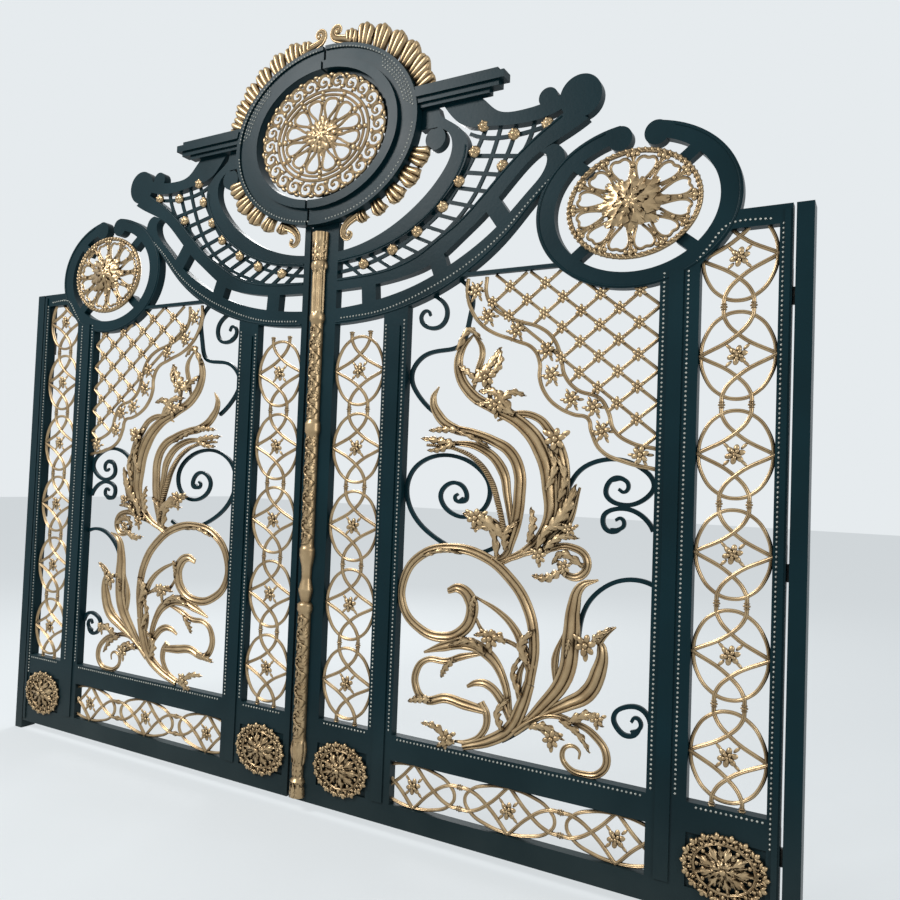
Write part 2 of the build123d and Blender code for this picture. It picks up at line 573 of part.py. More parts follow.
# Main panel: gold scrolls in front, each with its width at the start and at the end
gold_strokes = [
    ([(590, 295), (605, 445), (570, 585), (490, 685), (390, 750), (240, 775), (100, 735), (24, 635),
      (24, 525), (100, 445), (210, 420), (300, 455), (340, 525), (330, 585), (280, 620),
      (230, 605)], 34, 26),
    ([(350, 595), (460, 545), (520, 495), (560, 430), (596, 350)], 20, 40),
    ([(350, 525), (390, 465), (430, 445), (500, 440), (590, 400)], 16, 20),
    ([(590, 295), (560, 200), (520, 120), (440, 60), (320, 12)], 60, 34),
    ([(520, 130), (480, 305), (410, 385), (320, 410), (220, 385), (130, 350)], 30, 46),
    ([(410, 385), (300, 355), (240, 330), (140, 320), (100, 275), (100, 205), (140, 165), (240, 185),
      (320, 175), (420, 165)], 20, 40),
    ([(330, 245), (370, 265), (420, 265), (480, 215), (530, 130)], 20, 34),
    ([(390, 195), (420, 145), (400, 75), (340, 35), (280, 25)], 26, 18),
    ([(530, 110), (590, 155), (670, 195), (770, 185), (845, 155), (895, 85), (875, 25), (810, 8)], 40, 24),
    ([(560, 130), (640, 215), (730, 345), (750, 495), (755, 595), (780, 675), (845, 705)], 44, 24),
    ([(600, 160), (670, 205), (740, 245), (815, 295), (855, 375), (865, 465), (845, 495)], 34, 44),
    ([(845, 480), (880, 520), (915, 545)], 40, 16),
    ([(400, 745), (470, 760), (495, 820), (515, 895), (525, 990), (520, 1090), (480, 1160), (410, 1200),
      (320, 1230), (230, 1250), (160, 1300), (130, 1370), (155, 1420)], 40, 22),
    ([(500, 850), (475, 990), (450, 1090), (360, 1170), (190, 1195)], 30, 50),
    ([(440, 735), (560, 790), (645, 895), (650, 1030), (610, 1170), (520, 1270), (400, 1330), (300, 1390),
      (245, 1480), (250, 1560), (305, 1625)], 40, 34),
    ([(305, 1625), (345, 1560), (330, 1480), (310, 1400)], 24, 20),
    ([(600, 810), (680, 900), (700, 1020), (690, 1150), (640, 1240), (590, 1290), (490, 1305),
      (420, 1280)], 30, 36),
    ([(440, 725), (540, 775), (640, 800), (740, 815), (800, 775), (780, 715), (720, 715),
      (690, 755)], 30, 20),
    ([(640, 800), (720, 900), (765, 1035)], 44, 24),
    ([(480, 830), (420, 880), (340, 905)], 34, 50),
    ([(560, 145), (630, 140), (690, 115)], 20, 14),
    ([(390, 1335), (382, 1400), (375, 1450)], 22, 16),
]
gold_flowers = [(430, 445), (250, 38), (690, 115), (810, 470), (670, 1210), (420, 1340), (375, 1450),
                (350, 900), (735, 880), (620, 775)]
gold_faces = [ribbon(in_panel(points), start, end) for points, start, end in gold_strokes]
gold_faces += [Pos(*place) * Circle(FLOWER / 2) for place in in_panel(gold_flowers)]
gold_face = in_bay(joined(gold_faces), main_left, main_right, panel_bottom, lattice_top)
both("main_scroll", plate(gold_face, SCROLL_FRONT, SCROLL_FRONT + SCROLL_DEPTH))

# Main panel: dark scrolls behind, and the bar over the lattice
black_strokes = [
    [(420, 790), (300, 760), (170, 800), (50, 890), (9, 990), (30, 1070), (110, 1130), (230, 1140),
     (330, 1100), (390, 1020), (370, 940), (290, 900), (210, 920), (170, 980), (210, 1030), (270, 1020),
     (290, 980), (250, 960)],
    [(700, 980), (710, 1020), (760, 1100), (860, 1140), (970, 1120), (1032, 1050), (980, 990), (910, 980),
     (860, 1010), (870, 1060), (920, 1070)],
    [(1034, 890), (980, 950), (920, 965), (850, 930), (860, 890), (910, 890)],
    [(4, 1795), (110, 1795), (170, 1725), (150, 1675), (90, 1665), (50, 1695)],
    [(210, 1860), (285, 1745), (275, 1695), (235, 1585), (170, 1570), (60, 1545), (12, 1475), (50, 1385),
     (130, 1315)],
    [(1041, 702), (880, 690), (790, 590), (765, 440), (710, 290), (610, 160), (480, 60)],
    [(1041, 226), (960, 270), (910, 225), (950, 170), (1000, 195)],
]
black_faces = [ribbon(in_panel(points), BLACK_BAR) for points in black_strokes]
black_face = in_bay(joined(black_faces), main_left, main_right, panel_bottom, POST_HEIGHT)
bar_left = main_left + OUTER_PANEL
top_bar = block(bar_left, side_x, lattice_top + SEAT, lattice_top + BLACK_BAR, 0, middle)
black = plate(black_face, middle + LATTICE_BAR / 2 + SEAT, LEAF_DEPTH)
above_panel = plate(arc_cap, -1, LEAF_DEPTH + 1) + plate(side_clear, -1, LEAF_DEPTH + 1)
both("black_scrolls", Compound(list((black - above_panel).solids()) + list((top_bar - above_panel).solids())))

os.makedirs("parts", exist_ok=True)
to_foot = Pos(post_centre_x, -post_centre_y, 0)
for name, solid in pieces.items():
    export_step(to_foot * solid, "parts/" + name + ".step")
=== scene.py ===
import bmesh
import bpy
import math
from mathutils import Matrix, Vector


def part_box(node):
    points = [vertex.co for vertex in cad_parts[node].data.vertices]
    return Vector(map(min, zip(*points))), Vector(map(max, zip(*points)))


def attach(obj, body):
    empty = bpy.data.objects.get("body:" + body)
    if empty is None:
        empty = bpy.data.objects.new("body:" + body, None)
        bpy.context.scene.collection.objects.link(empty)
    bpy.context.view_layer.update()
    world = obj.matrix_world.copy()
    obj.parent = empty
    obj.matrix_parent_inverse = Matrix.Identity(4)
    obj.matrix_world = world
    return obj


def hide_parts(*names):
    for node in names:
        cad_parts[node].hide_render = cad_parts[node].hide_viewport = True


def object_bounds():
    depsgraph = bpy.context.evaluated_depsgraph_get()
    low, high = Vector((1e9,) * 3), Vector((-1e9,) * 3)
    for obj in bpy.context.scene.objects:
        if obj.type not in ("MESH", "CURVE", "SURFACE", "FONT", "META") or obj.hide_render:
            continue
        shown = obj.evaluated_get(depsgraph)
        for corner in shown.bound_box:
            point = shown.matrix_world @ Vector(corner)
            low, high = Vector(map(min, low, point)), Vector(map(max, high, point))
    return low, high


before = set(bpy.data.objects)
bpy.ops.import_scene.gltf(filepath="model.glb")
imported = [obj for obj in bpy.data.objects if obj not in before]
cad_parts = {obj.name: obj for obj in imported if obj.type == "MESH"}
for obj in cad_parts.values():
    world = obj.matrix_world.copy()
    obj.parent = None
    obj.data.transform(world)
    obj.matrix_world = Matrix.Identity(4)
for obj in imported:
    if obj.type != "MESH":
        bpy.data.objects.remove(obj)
cad_box = [list(corner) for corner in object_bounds()]


# Setting: a pale studio floor with an even grey world, soft lamps in front and behind, and the
# camera at the photograph's viewpoint, near the right post and at a hand-held height.
def linear(hex_colour):
    """An sRGB colour such as #20302F as linear red, green, blue and alpha."""
    channels = []
    for start in (1, 3, 5):
        value = int(hex_colour[start:start + 2], 16) / 255
        channels.append(value / 12.92 if value <= 0.04045 else ((value + 0.055) / 1.055) ** 2.4)
    return (*channels, 1.0)


def add_node(tree, kind, settings, links=()):
    """A node with its settings, and links that feed its sockets."""
    node = tree.nodes.new(kind)
    for key, value in settings.items():
        if isinstance(key, int) or key in node.inputs:
            node.inputs[key].default_value = value
        else:
            setattr(node, key, value)
    for socket, source in links:
        tree.links.new(source, node.inputs[socket])
    return node


def new_material(name):
    """A new material and its node tree, with nothing in it yet."""
    material = bpy.data.materials.new(name)
    material.use_nodes = True
    tree = material.node_tree
    tree.nodes.clear()
    return material, tree


def show(mesh, name, material):
    """An object at the origin for a finished mesh."""
    piece = bpy.data.objects.new(name, mesh)
    bpy.context.scene.collection.objects.link(piece)
    mesh.materials.clear()
    mesh.materials.append(material)
    return piece


def seen_or_reflected(tree):
    """A factor of 1 where the camera or a reflection meets the setting, and 0 where it lights the gate."""
    path = add_node(tree, "ShaderNodeLightPath", {})
    either = add_node(tree, "ShaderNodeMath", {"operation": "MAXIMUM"},
                      [(0, path.outputs["Is Camera Ray"]), (1, path.outputs["Is Glossy Ray"])])
    return either.outputs[0]


gate_middle = Vector(((cad_box[0][0] + cad_box[1][0]) / 2, (cad_box[0][1] + cad_box[1][1]) / 2, 0))

FLOOR_HALF = 30
floor_finish, tree = new_material("matt_studio_floor")
lit = add_node(tree, "ShaderNodeBsdfDiffuse", {"Color": linear("#8E9192")})
glow = add_node(tree, "ShaderNodeEmission", {"Color": linear("#E3E7E9"), "Strength": 0.68})
seen = add_node(tree, "ShaderNodeAddShader", {}, [(0, lit.outputs[0]), (1, glow.outputs[0])])
plain = add_node(tree, "ShaderNodeBsdfDiffuse", {"Color": linear("#C9CCCD")})
mix = add_node(tree, "ShaderNodeMixShader", {},
               [(0, seen_or_reflected(tree)), (1, plain.outputs[0]), (2, seen.outputs[0])])
add_node(tree, "ShaderNodeOutputMaterial", {}, [(0, mix.outputs[0])])
bm = bmesh.new()
bmesh.ops.create_grid(bm, x_segments=1, y_segments=1, size=FLOOR_HALF)
bmesh.ops.translate(bm, verts=bm.verts, vec=gate_middle)
mesh = bpy.data.meshes.new("studio_floor")
bm.to_mesh(mesh)
bm.free()
show(mesh, "studio_floor", floor_finish)

world = bpy.data.worlds.new("studio")
world.use_nodes = True
bpy.context.scene.world = world
tree = world.node_tree
tree.nodes.clear()
lit = add_node(tree, "ShaderNodeBackground", {"Color": linear("#DDE8F0"), "Strength": 0.55})
seen = add_node(tree, "ShaderNodeBackground", {"Color": linear("#E6EBEE"), "Strength": 1.0})
mix = add_node(tree, "ShaderNodeMixShader", {},
               [(0, seen_or_reflected(tree)), (1, lit.outputs[0]), (2, seen.outputs[0])])
add_node(tree, "ShaderNodeOutputWorld", {}, [(0, mix.outputs[0])])

# Metres from the gate's middle for each lamp and what it points at, its side, and its watts.
for name, place, target, size, power in (
        ("front_softbox", (-3.2, -4.8, 5.8), (0, 0, 1.8), 2.0, 350),
        ("right_softbox", (5.6, -2.2, 2.6), (0.8, 0, 1.8), 1.6, 60),
        ("back_softbox", (-2.6, 4.2, 4.4), (0, 0, 1.8), 2.6, 180)):
    lamp = bpy.data.lights.new(name, "AREA")
    lamp.shape = "SQUARE"
    lamp.size = size
    lamp.energy = power
    light = bpy.data.objects.new(name, lamp)
    light.location = gate_middle + Vector(place)
    aim = gate_middle + Vector(target) - light.location
    light.rotation_euler = aim.to_track_quat("-Z", "Y").to_euler()
    bpy.context.scene.collection.objects.link(light)

LENS = 32.0
SENSOR = 36.0
CAMERA_PLACE = (2.2363, -2.8172, 1.4593)    # metres: x from the gate's middle, then y and z
CAMERA_TURN = (92.014, -2.116, 29.025)      # degrees
camera_data = bpy.data.cameras.new("camera")
camera_data.lens = LENS
camera_data.sensor_width = SENSOR
camera = bpy.data.objects.new("camera", camera_data)
camera.location = (gate_middle.x + CAMERA_PLACE[0], *CAMERA_PLACE[1:])
camera.rotation_euler = [math.radians(angle) for angle in CAMERA_TURN]
bpy.context.scene.collection.objects.link(camera)
bpy.context.scene.camera = camera
bpy.context.scene.view_settings.view_transform = "Standard"


# Posts, stiles, rails, rings and bands: mild steel sections and plate, welded and ground, then
# brushed with blue-black gloss enamel. Brush marks soften its shine, and dust dulls it low down.
CLOUD = 384.6           # mm across the patches where the coat is thicker or thinner
BRUSH_MARK = 11.11      # mm, coarser than real bristle marks, which are too fine to show
DUST_HEIGHT = 0.55      # metres up to which dust settles on it
MIX_FROM, MIX_TO, MIXED = 6, 7, 2       # a colour mix's two colour sockets, and its colour result
enamel, tree = new_material("brushed_gloss_enamel_on_steel")
place = add_node(tree, "ShaderNodeTexCoord", {})
patches = add_node(tree, "ShaderNodeTexNoise", {"Scale": 1000 / CLOUD, "Detail": 4.0},
                   [("Vector", place.outputs["Object"])])
height = add_node(tree, "ShaderNodeSeparateXYZ", {}, [(0, place.outputs["Object"])])
splash = add_node(tree, "ShaderNodeMapRange",
                  {"From Min": 0.0, "From Max": DUST_HEIGHT, "To Min": 0.4, "To Max": 0.0},
                  [("Value", height.outputs["Z"])])
dust = add_node(tree, "ShaderNodeMath", {"operation": "MULTIPLY"},
                [(0, splash.outputs[0]), (1, patches.outputs["Fac"])])
paint = add_node(tree, "ShaderNodeMix",
                 {"data_type": "RGBA", MIX_FROM: linear("#071B1F"), MIX_TO: linear("#0F2F36")},
                 [(0, patches.outputs["Fac"])])
dusty = add_node(tree, "ShaderNodeMix", {"data_type": "RGBA", MIX_TO: linear("#55524A")},
                 [(0, dust.outputs[0]), (MIX_FROM, paint.outputs[MIXED])])
brush = add_node(tree, "ShaderNodeTexNoise", {"Scale": 1000 / BRUSH_MARK, "Detail": 2.0},
                 [("Vector", place.outputs["Object"])])
gloss = add_node(tree, "ShaderNodeMapRange", {"To Min": 0.24, "To Max": 0.46},
                 [("Value", patches.outputs["Fac"])])
bump = add_node(tree, "ShaderNodeBump", {"Strength": 0.12, "Distance": 0.002},
                [("Height", brush.outputs["Fac"])])
shader = add_node(tree, "ShaderNodeBsdfPrincipled", {"IOR": 1.42, "Specular IOR Level": 0.14},
                  [("Base Color", dusty.outputs[MIXED]), ("Roughness", gloss.outputs[0]),
                   ("Normal", bump.outputs[0])])
add_node(tree, "ShaderNodeOutputMaterial", {}, [(0, shader.outputs[0])])
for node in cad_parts.values():
    node.data.materials.clear()
    node.data.materials.append(enamel)


# Gold castings: scrolls, leaves and rosettes are thin castings rubbed with antique bronze paint,
# bright where hands and brush reach, with painted shade: dark brown laid into the recesses by an occlusion
# mask.
WORN_PATCH = 71.43      # mm across the patches that the weather left brighter or duller
CAST_GRAIN = 3.846      # mm, coarser than the castings' sand grain, which is too fine to show
PAINTED_SHADE_REACH = 0.03           # metres within which a wall opposite brings painted shade
gilt, tree = new_material("antique_bronze_paint_on_castings")
place = add_node(tree, "ShaderNodeTexCoord", {})
# Painted shade: an occlusion mask finds the recesses, and the colour is darkened there.
painted_shade_occlusion = add_node(tree, "ShaderNodeAmbientOcclusion", {"samples": 4, "Distance": PAINTED_SHADE_REACH})
worn = add_node(tree, "ShaderNodeTexNoise", {"Scale": 1000 / WORN_PATCH, "Detail": 5.0},
                [("Vector", place.outputs["Object"])])
grain = add_node(tree, "ShaderNodeTexNoise", {"Scale": 1000 / CAST_GRAIN, "Detail": 2.0},
                 [("Vector", place.outputs["Object"])])
painted_shade_openness = add_node(tree, "ShaderNodeMapRange", {"From Min": 0.34, "From Max": 0.94},
                 [("Value", painted_shade_occlusion.outputs["AO"])])
bright = add_node(tree, "ShaderNodeMix",
                  {"data_type": "RGBA", MIX_FROM: linear("#866A48"), MIX_TO: linear("#D2B991")},
                  [(0, worn.outputs["Fac"])])
# Painted shade: dark brown #231810 is laid in where the occlusion mask is low.
colour = add_node(tree, "ShaderNodeMix", {"data_type": "RGBA", MIX_FROM: linear("#231810")},
                  [(0, painted_shade_openness.outputs[0]), (MIX_TO, bright.outputs[MIXED])])
dull = add_node(tree, "ShaderNodeMapRange", {"To Min": 0.24, "To Max": 0.42},
                [("Value", worn.outputs["Fac"])])
bump = add_node(tree, "ShaderNodeBump", {"Strength": 0.25, "Distance": 0.001},
                [("Height", grain.outputs["Fac"])])
shader = add_node(tree, "ShaderNodeBsdfPrincipled", {"Metallic": 0.8},
                  [("Base Color", colour.outputs[MIXED]), ("Roughness", dull.outputs[0]),
                   ("Normal", bump.outputs[0])])
add_node(tree, "ShaderNodeOutputMaterial", {}, [(0, shader.outputs[0])])
gold_nodes = ["centre_rosette", "column"]
for name in ("kick_rosettes", "kick_chain", "outer_chain", "inner_chain", "side_rosette", "cresting",
             "corner_lattice", "main_scroll"):
    gold_nodes += ["left_" + name, "right_" + name]
for name in gold_nodes:
    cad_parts[name].data.materials[0] = gilt


# Main panel scrolls: cast stems with three reeds, and acanthus leaves and flowers brazed on them.
# Places are gate millimetres: x from the meeting line, z up, y behind the leaves' front face.
gate_origin = (gate_middle.x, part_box("right_rails")[0].y, 0)
MM = 0.001
CREASE = math.radians(50)       # edges that turn by more than this stay crisp


def fit(bm, name, side, material, nodes=()):
    """A finished piece on a leaf, from a mesh in gate millimetres that the left leaf mirrors."""
    hand = -1 if side == "left" else 1
    copy = bm.copy()
    copy.transform(Matrix.Translation(gate_origin) @ Matrix.Diagonal((hand * MM, MM, MM, 1)))
    if hand < 0:
        bmesh.ops.reverse_faces(copy, faces=copy.faces)
    mesh = bpy.data.meshes.new(name)
    copy.to_mesh(mesh)
    copy.free()
    mesh.shade_smooth()
    mesh.set_sharp_from_angle(angle=CREASE)
    piece = show(mesh, name, material)
    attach(piece, side + "_leaf")
    if nodes:
        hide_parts(*nodes)


def fit_both(bm, name, material, node=None):
    """The same piece on both leaves, standing for the CAD node of that name where there is one."""
    for side in ("right", "left"):
        fit(bm, side + "_" + name, side, material, [side + "_" + node] if node else [])
    bm.free()


def path_at(points, t):
    """Place and heading on a smooth curve through points in the plane of the gate."""
    spans = len(points) - 1
    i = min(int(t * spans), spans - 1)
    u = t * spans - i
    before = points[max(i - 1, 0)]
    start = points[i]
    end = points[i + 1]
    after = points[min(i + 2, spans)]
    place = []
    heading = []
    for k in (0, 1):
        leave = (end[k] - before[k]) / 2
        arrive = (after[k] - start[k]) / 2
        place.append((2 * u ** 3 - 3 * u ** 2 + 1) * start[k] + (u ** 3 - 2 * u ** 2 + u) * leave
                     + (3 * u ** 2 - 2 * u ** 3) * end[k] + (u ** 3 - u ** 2) * arrive)
        heading.append((6 * u ** 2 - 6 * u) * start[k] + (3 * u ** 2 - 4 * u + 1) * leave
                       + (6 * u - 6 * u ** 2) * end[k] + (3 * u ** 2 - 2 * u) * arrive)
    return Vector(place), Vector(heading).normalized()


def section(name, corners):
    """A closed cross-section for strands, one unit wide."""
    curve = bpy.data.curves.new(name, "CURVE")
    curve.dimensions = "2D"
    spline = curve.splines.new("POLY")
    spline.points.add(len(corners) - 1)
    for point, (x, y) in zip(spline.points, corners):
        point.co = (x, y, 0, 1)
    spline.use_cyclic_u = True
    return bpy.data.objects.new(name, curve)


def strands(bm, strokes, shape, back, resolution=6):
    """Bars bent along smooth curves: each has its points, its widths along them and whether it closes."""
    curve = bpy.data.curves.new("strand", "CURVE")
    curve.dimensions = "3D"
    curve.twist_mode = "Z_UP"
    curve.resolution_u = resolution
    curve.bevel_mode = "OBJECT"
    curve.bevel_object = shape
    curve.use_fill_caps = True
    for points, widths, closed in strokes:
        last = len(widths) - 1
        spline = curve.splines.new("BEZIER")
        spline.bezier_points.add(len(points) - 1)
        spline.use_cyclic_u = closed
        for i, knot in enumerate(spline.bezier_points):
            knot.co = (*points[i], 0)
            knot.handle_left_type = "AUTO"
            knot.handle_right_type = "AUTO"
            along = i / (len(points) - 1) * last
            step = min(int(along), max(last - 1, 0))
            knot.radius = widths[step] + (widths[min(step + 1, last)] - widths[step]) * (along - step)
    holder = bpy.data.objects.new("strand", curve)
    bpy.context.scene.collection.objects.link(holder)
    bpy.context.view_layer.update()
    made = bpy.data.meshes.new_from_object(holder.evaluated_get(bpy.context.evaluated_depsgraph_get()))
    upright = Matrix(((1, 0, 0, 0), (0, 0, -1, back), (0, 1, 0, 0), (0, 0, 0, 1)))
    made.transform(upright)
    bm.from_mesh(made)
    bpy.data.objects.remove(holder)
    bpy.data.curves.remove(curve)
    bpy.data.meshes.remove(made)


# Few facets, because hundreds are used. The finest is one large dome.
round_forms = {}
for rounds in (6, 8, 10, 48):
    shot = bmesh.new()
    bmesh.ops.create_uvsphere(shot, u_segments=rounds, v_segments=min(rounds - 2, 16), radius=1)
    round_forms[rounds] = bpy.data.meshes.new("ball")
    shot.to_mesh(round_forms[rounds])
    shot.free()


def ball(bm, x, y, z, sizes, angle=0.0, rounds=10):
    """A squashed ball of so many facets round, turned in the plane of the gate."""
    copy = round_forms[rounds].copy()
    copy.transform(Matrix.Translation((x, y, z)) @ Matrix.Rotation(-angle, 4, "Y")
                   @ Matrix.Diagonal((*sizes, 1)))
    bm.from_mesh(copy)
    bpy.data.meshes.remove(copy)


def leaf(bm, points, width, front, lobes, lift):
    """An acanthus leaf along a path: lobes that lean forwards, flutes between them and a raised rib."""
    made = bmesh.ops.create_grid(bm, x_segments=5 * lobes + 4, y_segments=8, size=0.5)
    for vert in made["verts"]:
        t = vert.co.x + 0.5     # 0 at the stalk, 1 at the tip
        s = vert.co.y * 2       # 0 on the rib, -1 and 1 on the edges
        place, heading = path_at(points, t)
        swell = max(math.sin(math.pi * (0.1 + 0.9 * t) ** 0.85), 0.01) ** 0.7
        wave = 0.5 + 0.5 * math.cos(2 * math.pi * (lobes * (t - 0.12 * abs(s)) + 0.5))
        half = width / 2 * swell * (0.6 + 0.46 * wave)
        spot = place + Vector((-heading.y, heading.x)) * s * half + heading * width * 0.16 * s * s * t
        flute = 0.34 * lift * math.cos(2 * math.pi * lobes * (t - 0.3 * abs(s))) * abs(s)
        rise = lift * (1 - 0.75 * s * s) * (0.45 + 0.55 * math.sin(math.pi * min(t + 0.12, 1))) + flute
        vert.co = (spot.x, front - rise, spot.y)


def thicken(bm, thickness):
    """Turns leaves modelled as sheets into castings."""
    made = bmesh.ops.extrude_face_region(bm, geom=bm.faces[:], use_keep_orig=True)
    backs = [item for item in made["geom"] if isinstance(item, bmesh.types.BMVert)]
    bmesh.ops.translate(bm, verts=backs, vec=(0, thickness, 0))
    bmesh.ops.recalc_face_normals(bm, faces=bm.faces)


def petals(bm, x, z, front, radius, sizes, count, turn=0.0):
    """Petals in an even ring, each drawn out away from its middle."""
    for i in range(count):
        angle = turn + 2 * math.pi * i / count
        ball(bm, x + radius * math.cos(angle), front, z + radius * math.sin(angle), sizes, angle, 8)


def flower(bm, x, z, radius, front, count=6, turn=0.3):
    """A cast flower: round petals dished about a raised boss."""
    petals(bm, x, z, front - 0.1 * radius, 0.58 * radius, (0.45 * radius, 0.18 * radius, 0.3 * radius),
           count, turn)
    ball(bm, x, front - 0.22 * radius, z, (0.3 * radius, 0.24 * radius, 0.3 * radius), 0, 8)


reeded = section("reeded_section", [
    (-0.5, 0.0), (-0.49, 0.13), (-0.42, 0.2), (-0.32, 0.2), (-0.24, 0.13), (-0.17, 0.25), (0.0, 0.34),
    (0.17, 0.25), (0.24, 0.13), (0.32, 0.2), (0.42, 0.2), (0.49, 0.13), (0.5, 0.0), (0.44, -0.09),
    (0.32, -0.11), (0.24, -0.06), (0.14, -0.13), (0.0, -0.16), (-0.14, -0.13), (-0.24, -0.06),
    (-0.32, -0.11), (-0.44, -0.09)])
PANEL_X, PANEL_Z = 467, 408     # the panel's lower corner on the meeting side
CAST_WALL = 3                   # thickness of the leaves' metal
panel_strokes = [
    ([(590, 295), (605, 445), (570, 585), (490, 685), (390, 750), (240, 775), (100, 735), (24, 635),
      (24, 525), (100, 445), (210, 420), (300, 455), (340, 525), (330, 585), (280, 620), (230, 605)],
     (40, 44, 40, 38, 36, 38, 48, 54, 24)),
    ([(350, 595), (460, 545), (520, 495), (560, 430), (596, 350)], (10, 26, 34, 44)),
    ([(350, 525), (390, 465), (430, 445), (500, 440), (590, 400)], (12, 20, 16, 20)),
    ([(590, 295), (560, 200), (520, 120), (440, 60), (320, 12)], (44, 56, 50, 30)),
    ([(520, 130), (480, 305), (410, 385), (320, 410), (220, 385), (130, 350)], (26, 34, 48, 52, 40, 10)),
    ([(410, 385), (300, 355), (240, 330), (140, 320), (100, 275), (100, 205), (140, 165), (240, 185),
      (320, 175), (420, 165)], (12, 30, 26, 24, 36, 30, 38, 44, 30)),
    ([(330, 245), (370, 265), (420, 265), (480, 215), (530, 130)], (14, 30, 38, 30)),
    ([(390, 195), (420, 145), (400, 75), (340, 35), (280, 25)], (34, 30, 22, 10)),
    ([(530, 110), (590, 155), (670, 195), (770, 185), (845, 155), (895, 85), (875, 28), (810, 8), (752, 22),
      (728, 64), (752, 98), (792, 88), (792, 58)], (40, 36, 26, 22, 28, 30, 28, 26, 22, 20, 16, 12, 8)),
    ([(560, 130), (640, 215), (730, 345), (750, 495), (755, 595), (780, 675), (845, 705)],
     (26, 48, 64, 66, 52, 34, 8)),
    ([(600, 160), (670, 205), (740, 245), (815, 295), (855, 375), (865, 465), (845, 495)],
     (24, 34, 50, 62, 58, 36, 12)),
    ([(845, 480), (880, 520), (915, 545)], (40, 24, 6)),
    ([(400, 745), (470, 760), (495, 820), (515, 895), (525, 990), (520, 1090), (480, 1160), (410, 1200),
      (320, 1230), (230, 1250), (160, 1300), (130, 1370), (155, 1420)], (16, 36, 46, 50, 46, 36, 40, 42, 6)),
    ([(500, 850), (475, 990), (450, 1090), (360, 1170), (190, 1195)], (20, 34, 42, 34, 14)),
    ([(440, 735), (560, 790), (645, 895), (650, 1030), (610, 1170), (520, 1270), (400, 1330), (300, 1390),
      (245, 1480), (250, 1560), (305, 1625)], (20, 34, 50, 66, 70, 54, 42, 46, 44, 34, 8)),
    ([(305, 1625), (345, 1560), (330, 1480), (310, 1400)], (10, 26, 28, 14)),
    ([(600, 810), (680, 900), (700, 1020), (690, 1150), (640, 1240), (590, 1290), (490, 1305), (420, 1280)],
     (20, 40, 50, 46, 36, 30, 26, 8)),
    ([(440, 725), (540, 775), (640, 800), (740, 815), (800, 775), (780, 715), (720, 715), (690, 755)],
     (20, 30, 26, 28, 34, 28, 20)),
    ([(640, 800), (720, 900), (765, 1035)], (40, 36, 10)),
    ([(480, 830), (420, 880), (340, 905)], (30, 44, 20)),
    ([(560, 145), (630, 140), (690, 115)], (20, 14)),
    ([(390, 1335), (382, 1400), (375, 1450)], (22, 16)),
    ([(560, 200), (545, 300), (575, 395)], (20, 30, 8)),
    ([(700, 290), (690, 400), (720, 500)], (20, 30, 8)),
    ([(120, 1182), (230, 1172), (335, 1128), (405, 1050), (440, 960), (470, 860)], (8, 14, 16, 18, 18, 14)),
]
panel_leaves = [
    ([(261, 1243), (190, 1245), (125, 1240)], 44), ([(247, 1187), (170, 1200), (90, 1208)], 50),
    ([(245, 1190), (180, 1165), (120, 1160)], 40), ([(240, 1560), (290, 1640), (345, 1600)], 42),
    ([(316, 1426), (385, 1490), (430, 1560)], 66), ([(330, 1440), (280, 1480), (250, 1500)], 40),
    ([(490, 1305), (420, 1385), (345, 1395)], 60), ([(498, 1304), (415, 1345), (330, 1345)], 54),
    ([(416, 1322), (480, 1385), (540, 1375)], 50), ([(377, 1437), (430, 1500), (425, 1560)], 44),
    ([(640, 1020), (672, 1110), (640, 1180)], 46), ([(690, 980), (712, 1070), (668, 1160)], 44),
    ([(650, 870), (715, 945), (752, 1040)], 72), ([(479, 831), (385, 895), (295, 915)], 72),
    ([(447, 755), (420, 860), (330, 860)], 50), ([(481, 786), (480, 850), (530, 900)], 50),
    ([(575, 820), (590, 890), (580, 950)], 50), ([(610, 800), (655, 880), (735, 880)], 52),
    ([(640, 800), (700, 850), (770, 850)], 44), ([(792, 750), (712, 790), (672, 750)], 48),
    ([(710, 728), (650, 695), (595, 700)], 52), ([(845, 480), (850, 505), (905, 545)], 44),
    ([(749, 484), (745, 460), (735, 415)], 36), ([(496, 440), (430, 460), (360, 450)], 50),
    ([(585, 370), (560, 440), (605, 495)], 62), ([(360, 600), (345, 560), (350, 520)], 34),
    ([(274, 344), (235, 300), (222, 268)], 40), ([(174, 172), (120, 165), (75, 150)], 48),
    ([(280, 25), (205, 70), (140, 75)], 46), ([(292, 27), (235, 10), (215, -4)], 34),
    ([(490, 110), (470, 175), (520, 235)], 46), ([(601, 142), (665, 155), (735, 120)], 48),
    ([(755, 190), (830, 225), (880, 195)], 56), ([(720, 190), (790, 155), (835, 95)], 42),
    ([(410, 385), (340, 425), (250, 395)], 44), ([(560, 250), (530, 330), (560, 400)], 40),
    ([(250, 1240), (330, 1210), (400, 1175)], 30), ([(120, 735), (210, 765), (290, 755)], 30),
]
panel_flowers = [(430, 445, 38), (250, 38, 34), (690, 115, 34), (810, 470, 40), (670, 1210, 42),
                 (420, 1340, 36), (375, 1450, 40), (350, 900, 38), (735, 880, 26), (620, 775, 30),
                 (720, 745, 26), (860, 215, 26)]
twisted_stem = [(470, 860), (440, 960), (405, 1050), (335, 1128), (230, 1172), (120, 1182)]
TWISTS = 58                     # turns of the twisted stem


def in_panel(points):
    """Points of the panel's own drawing, as gate millimetres."""
    return [(PANEL_X + u, PANEL_Z + v) for u, v in points]


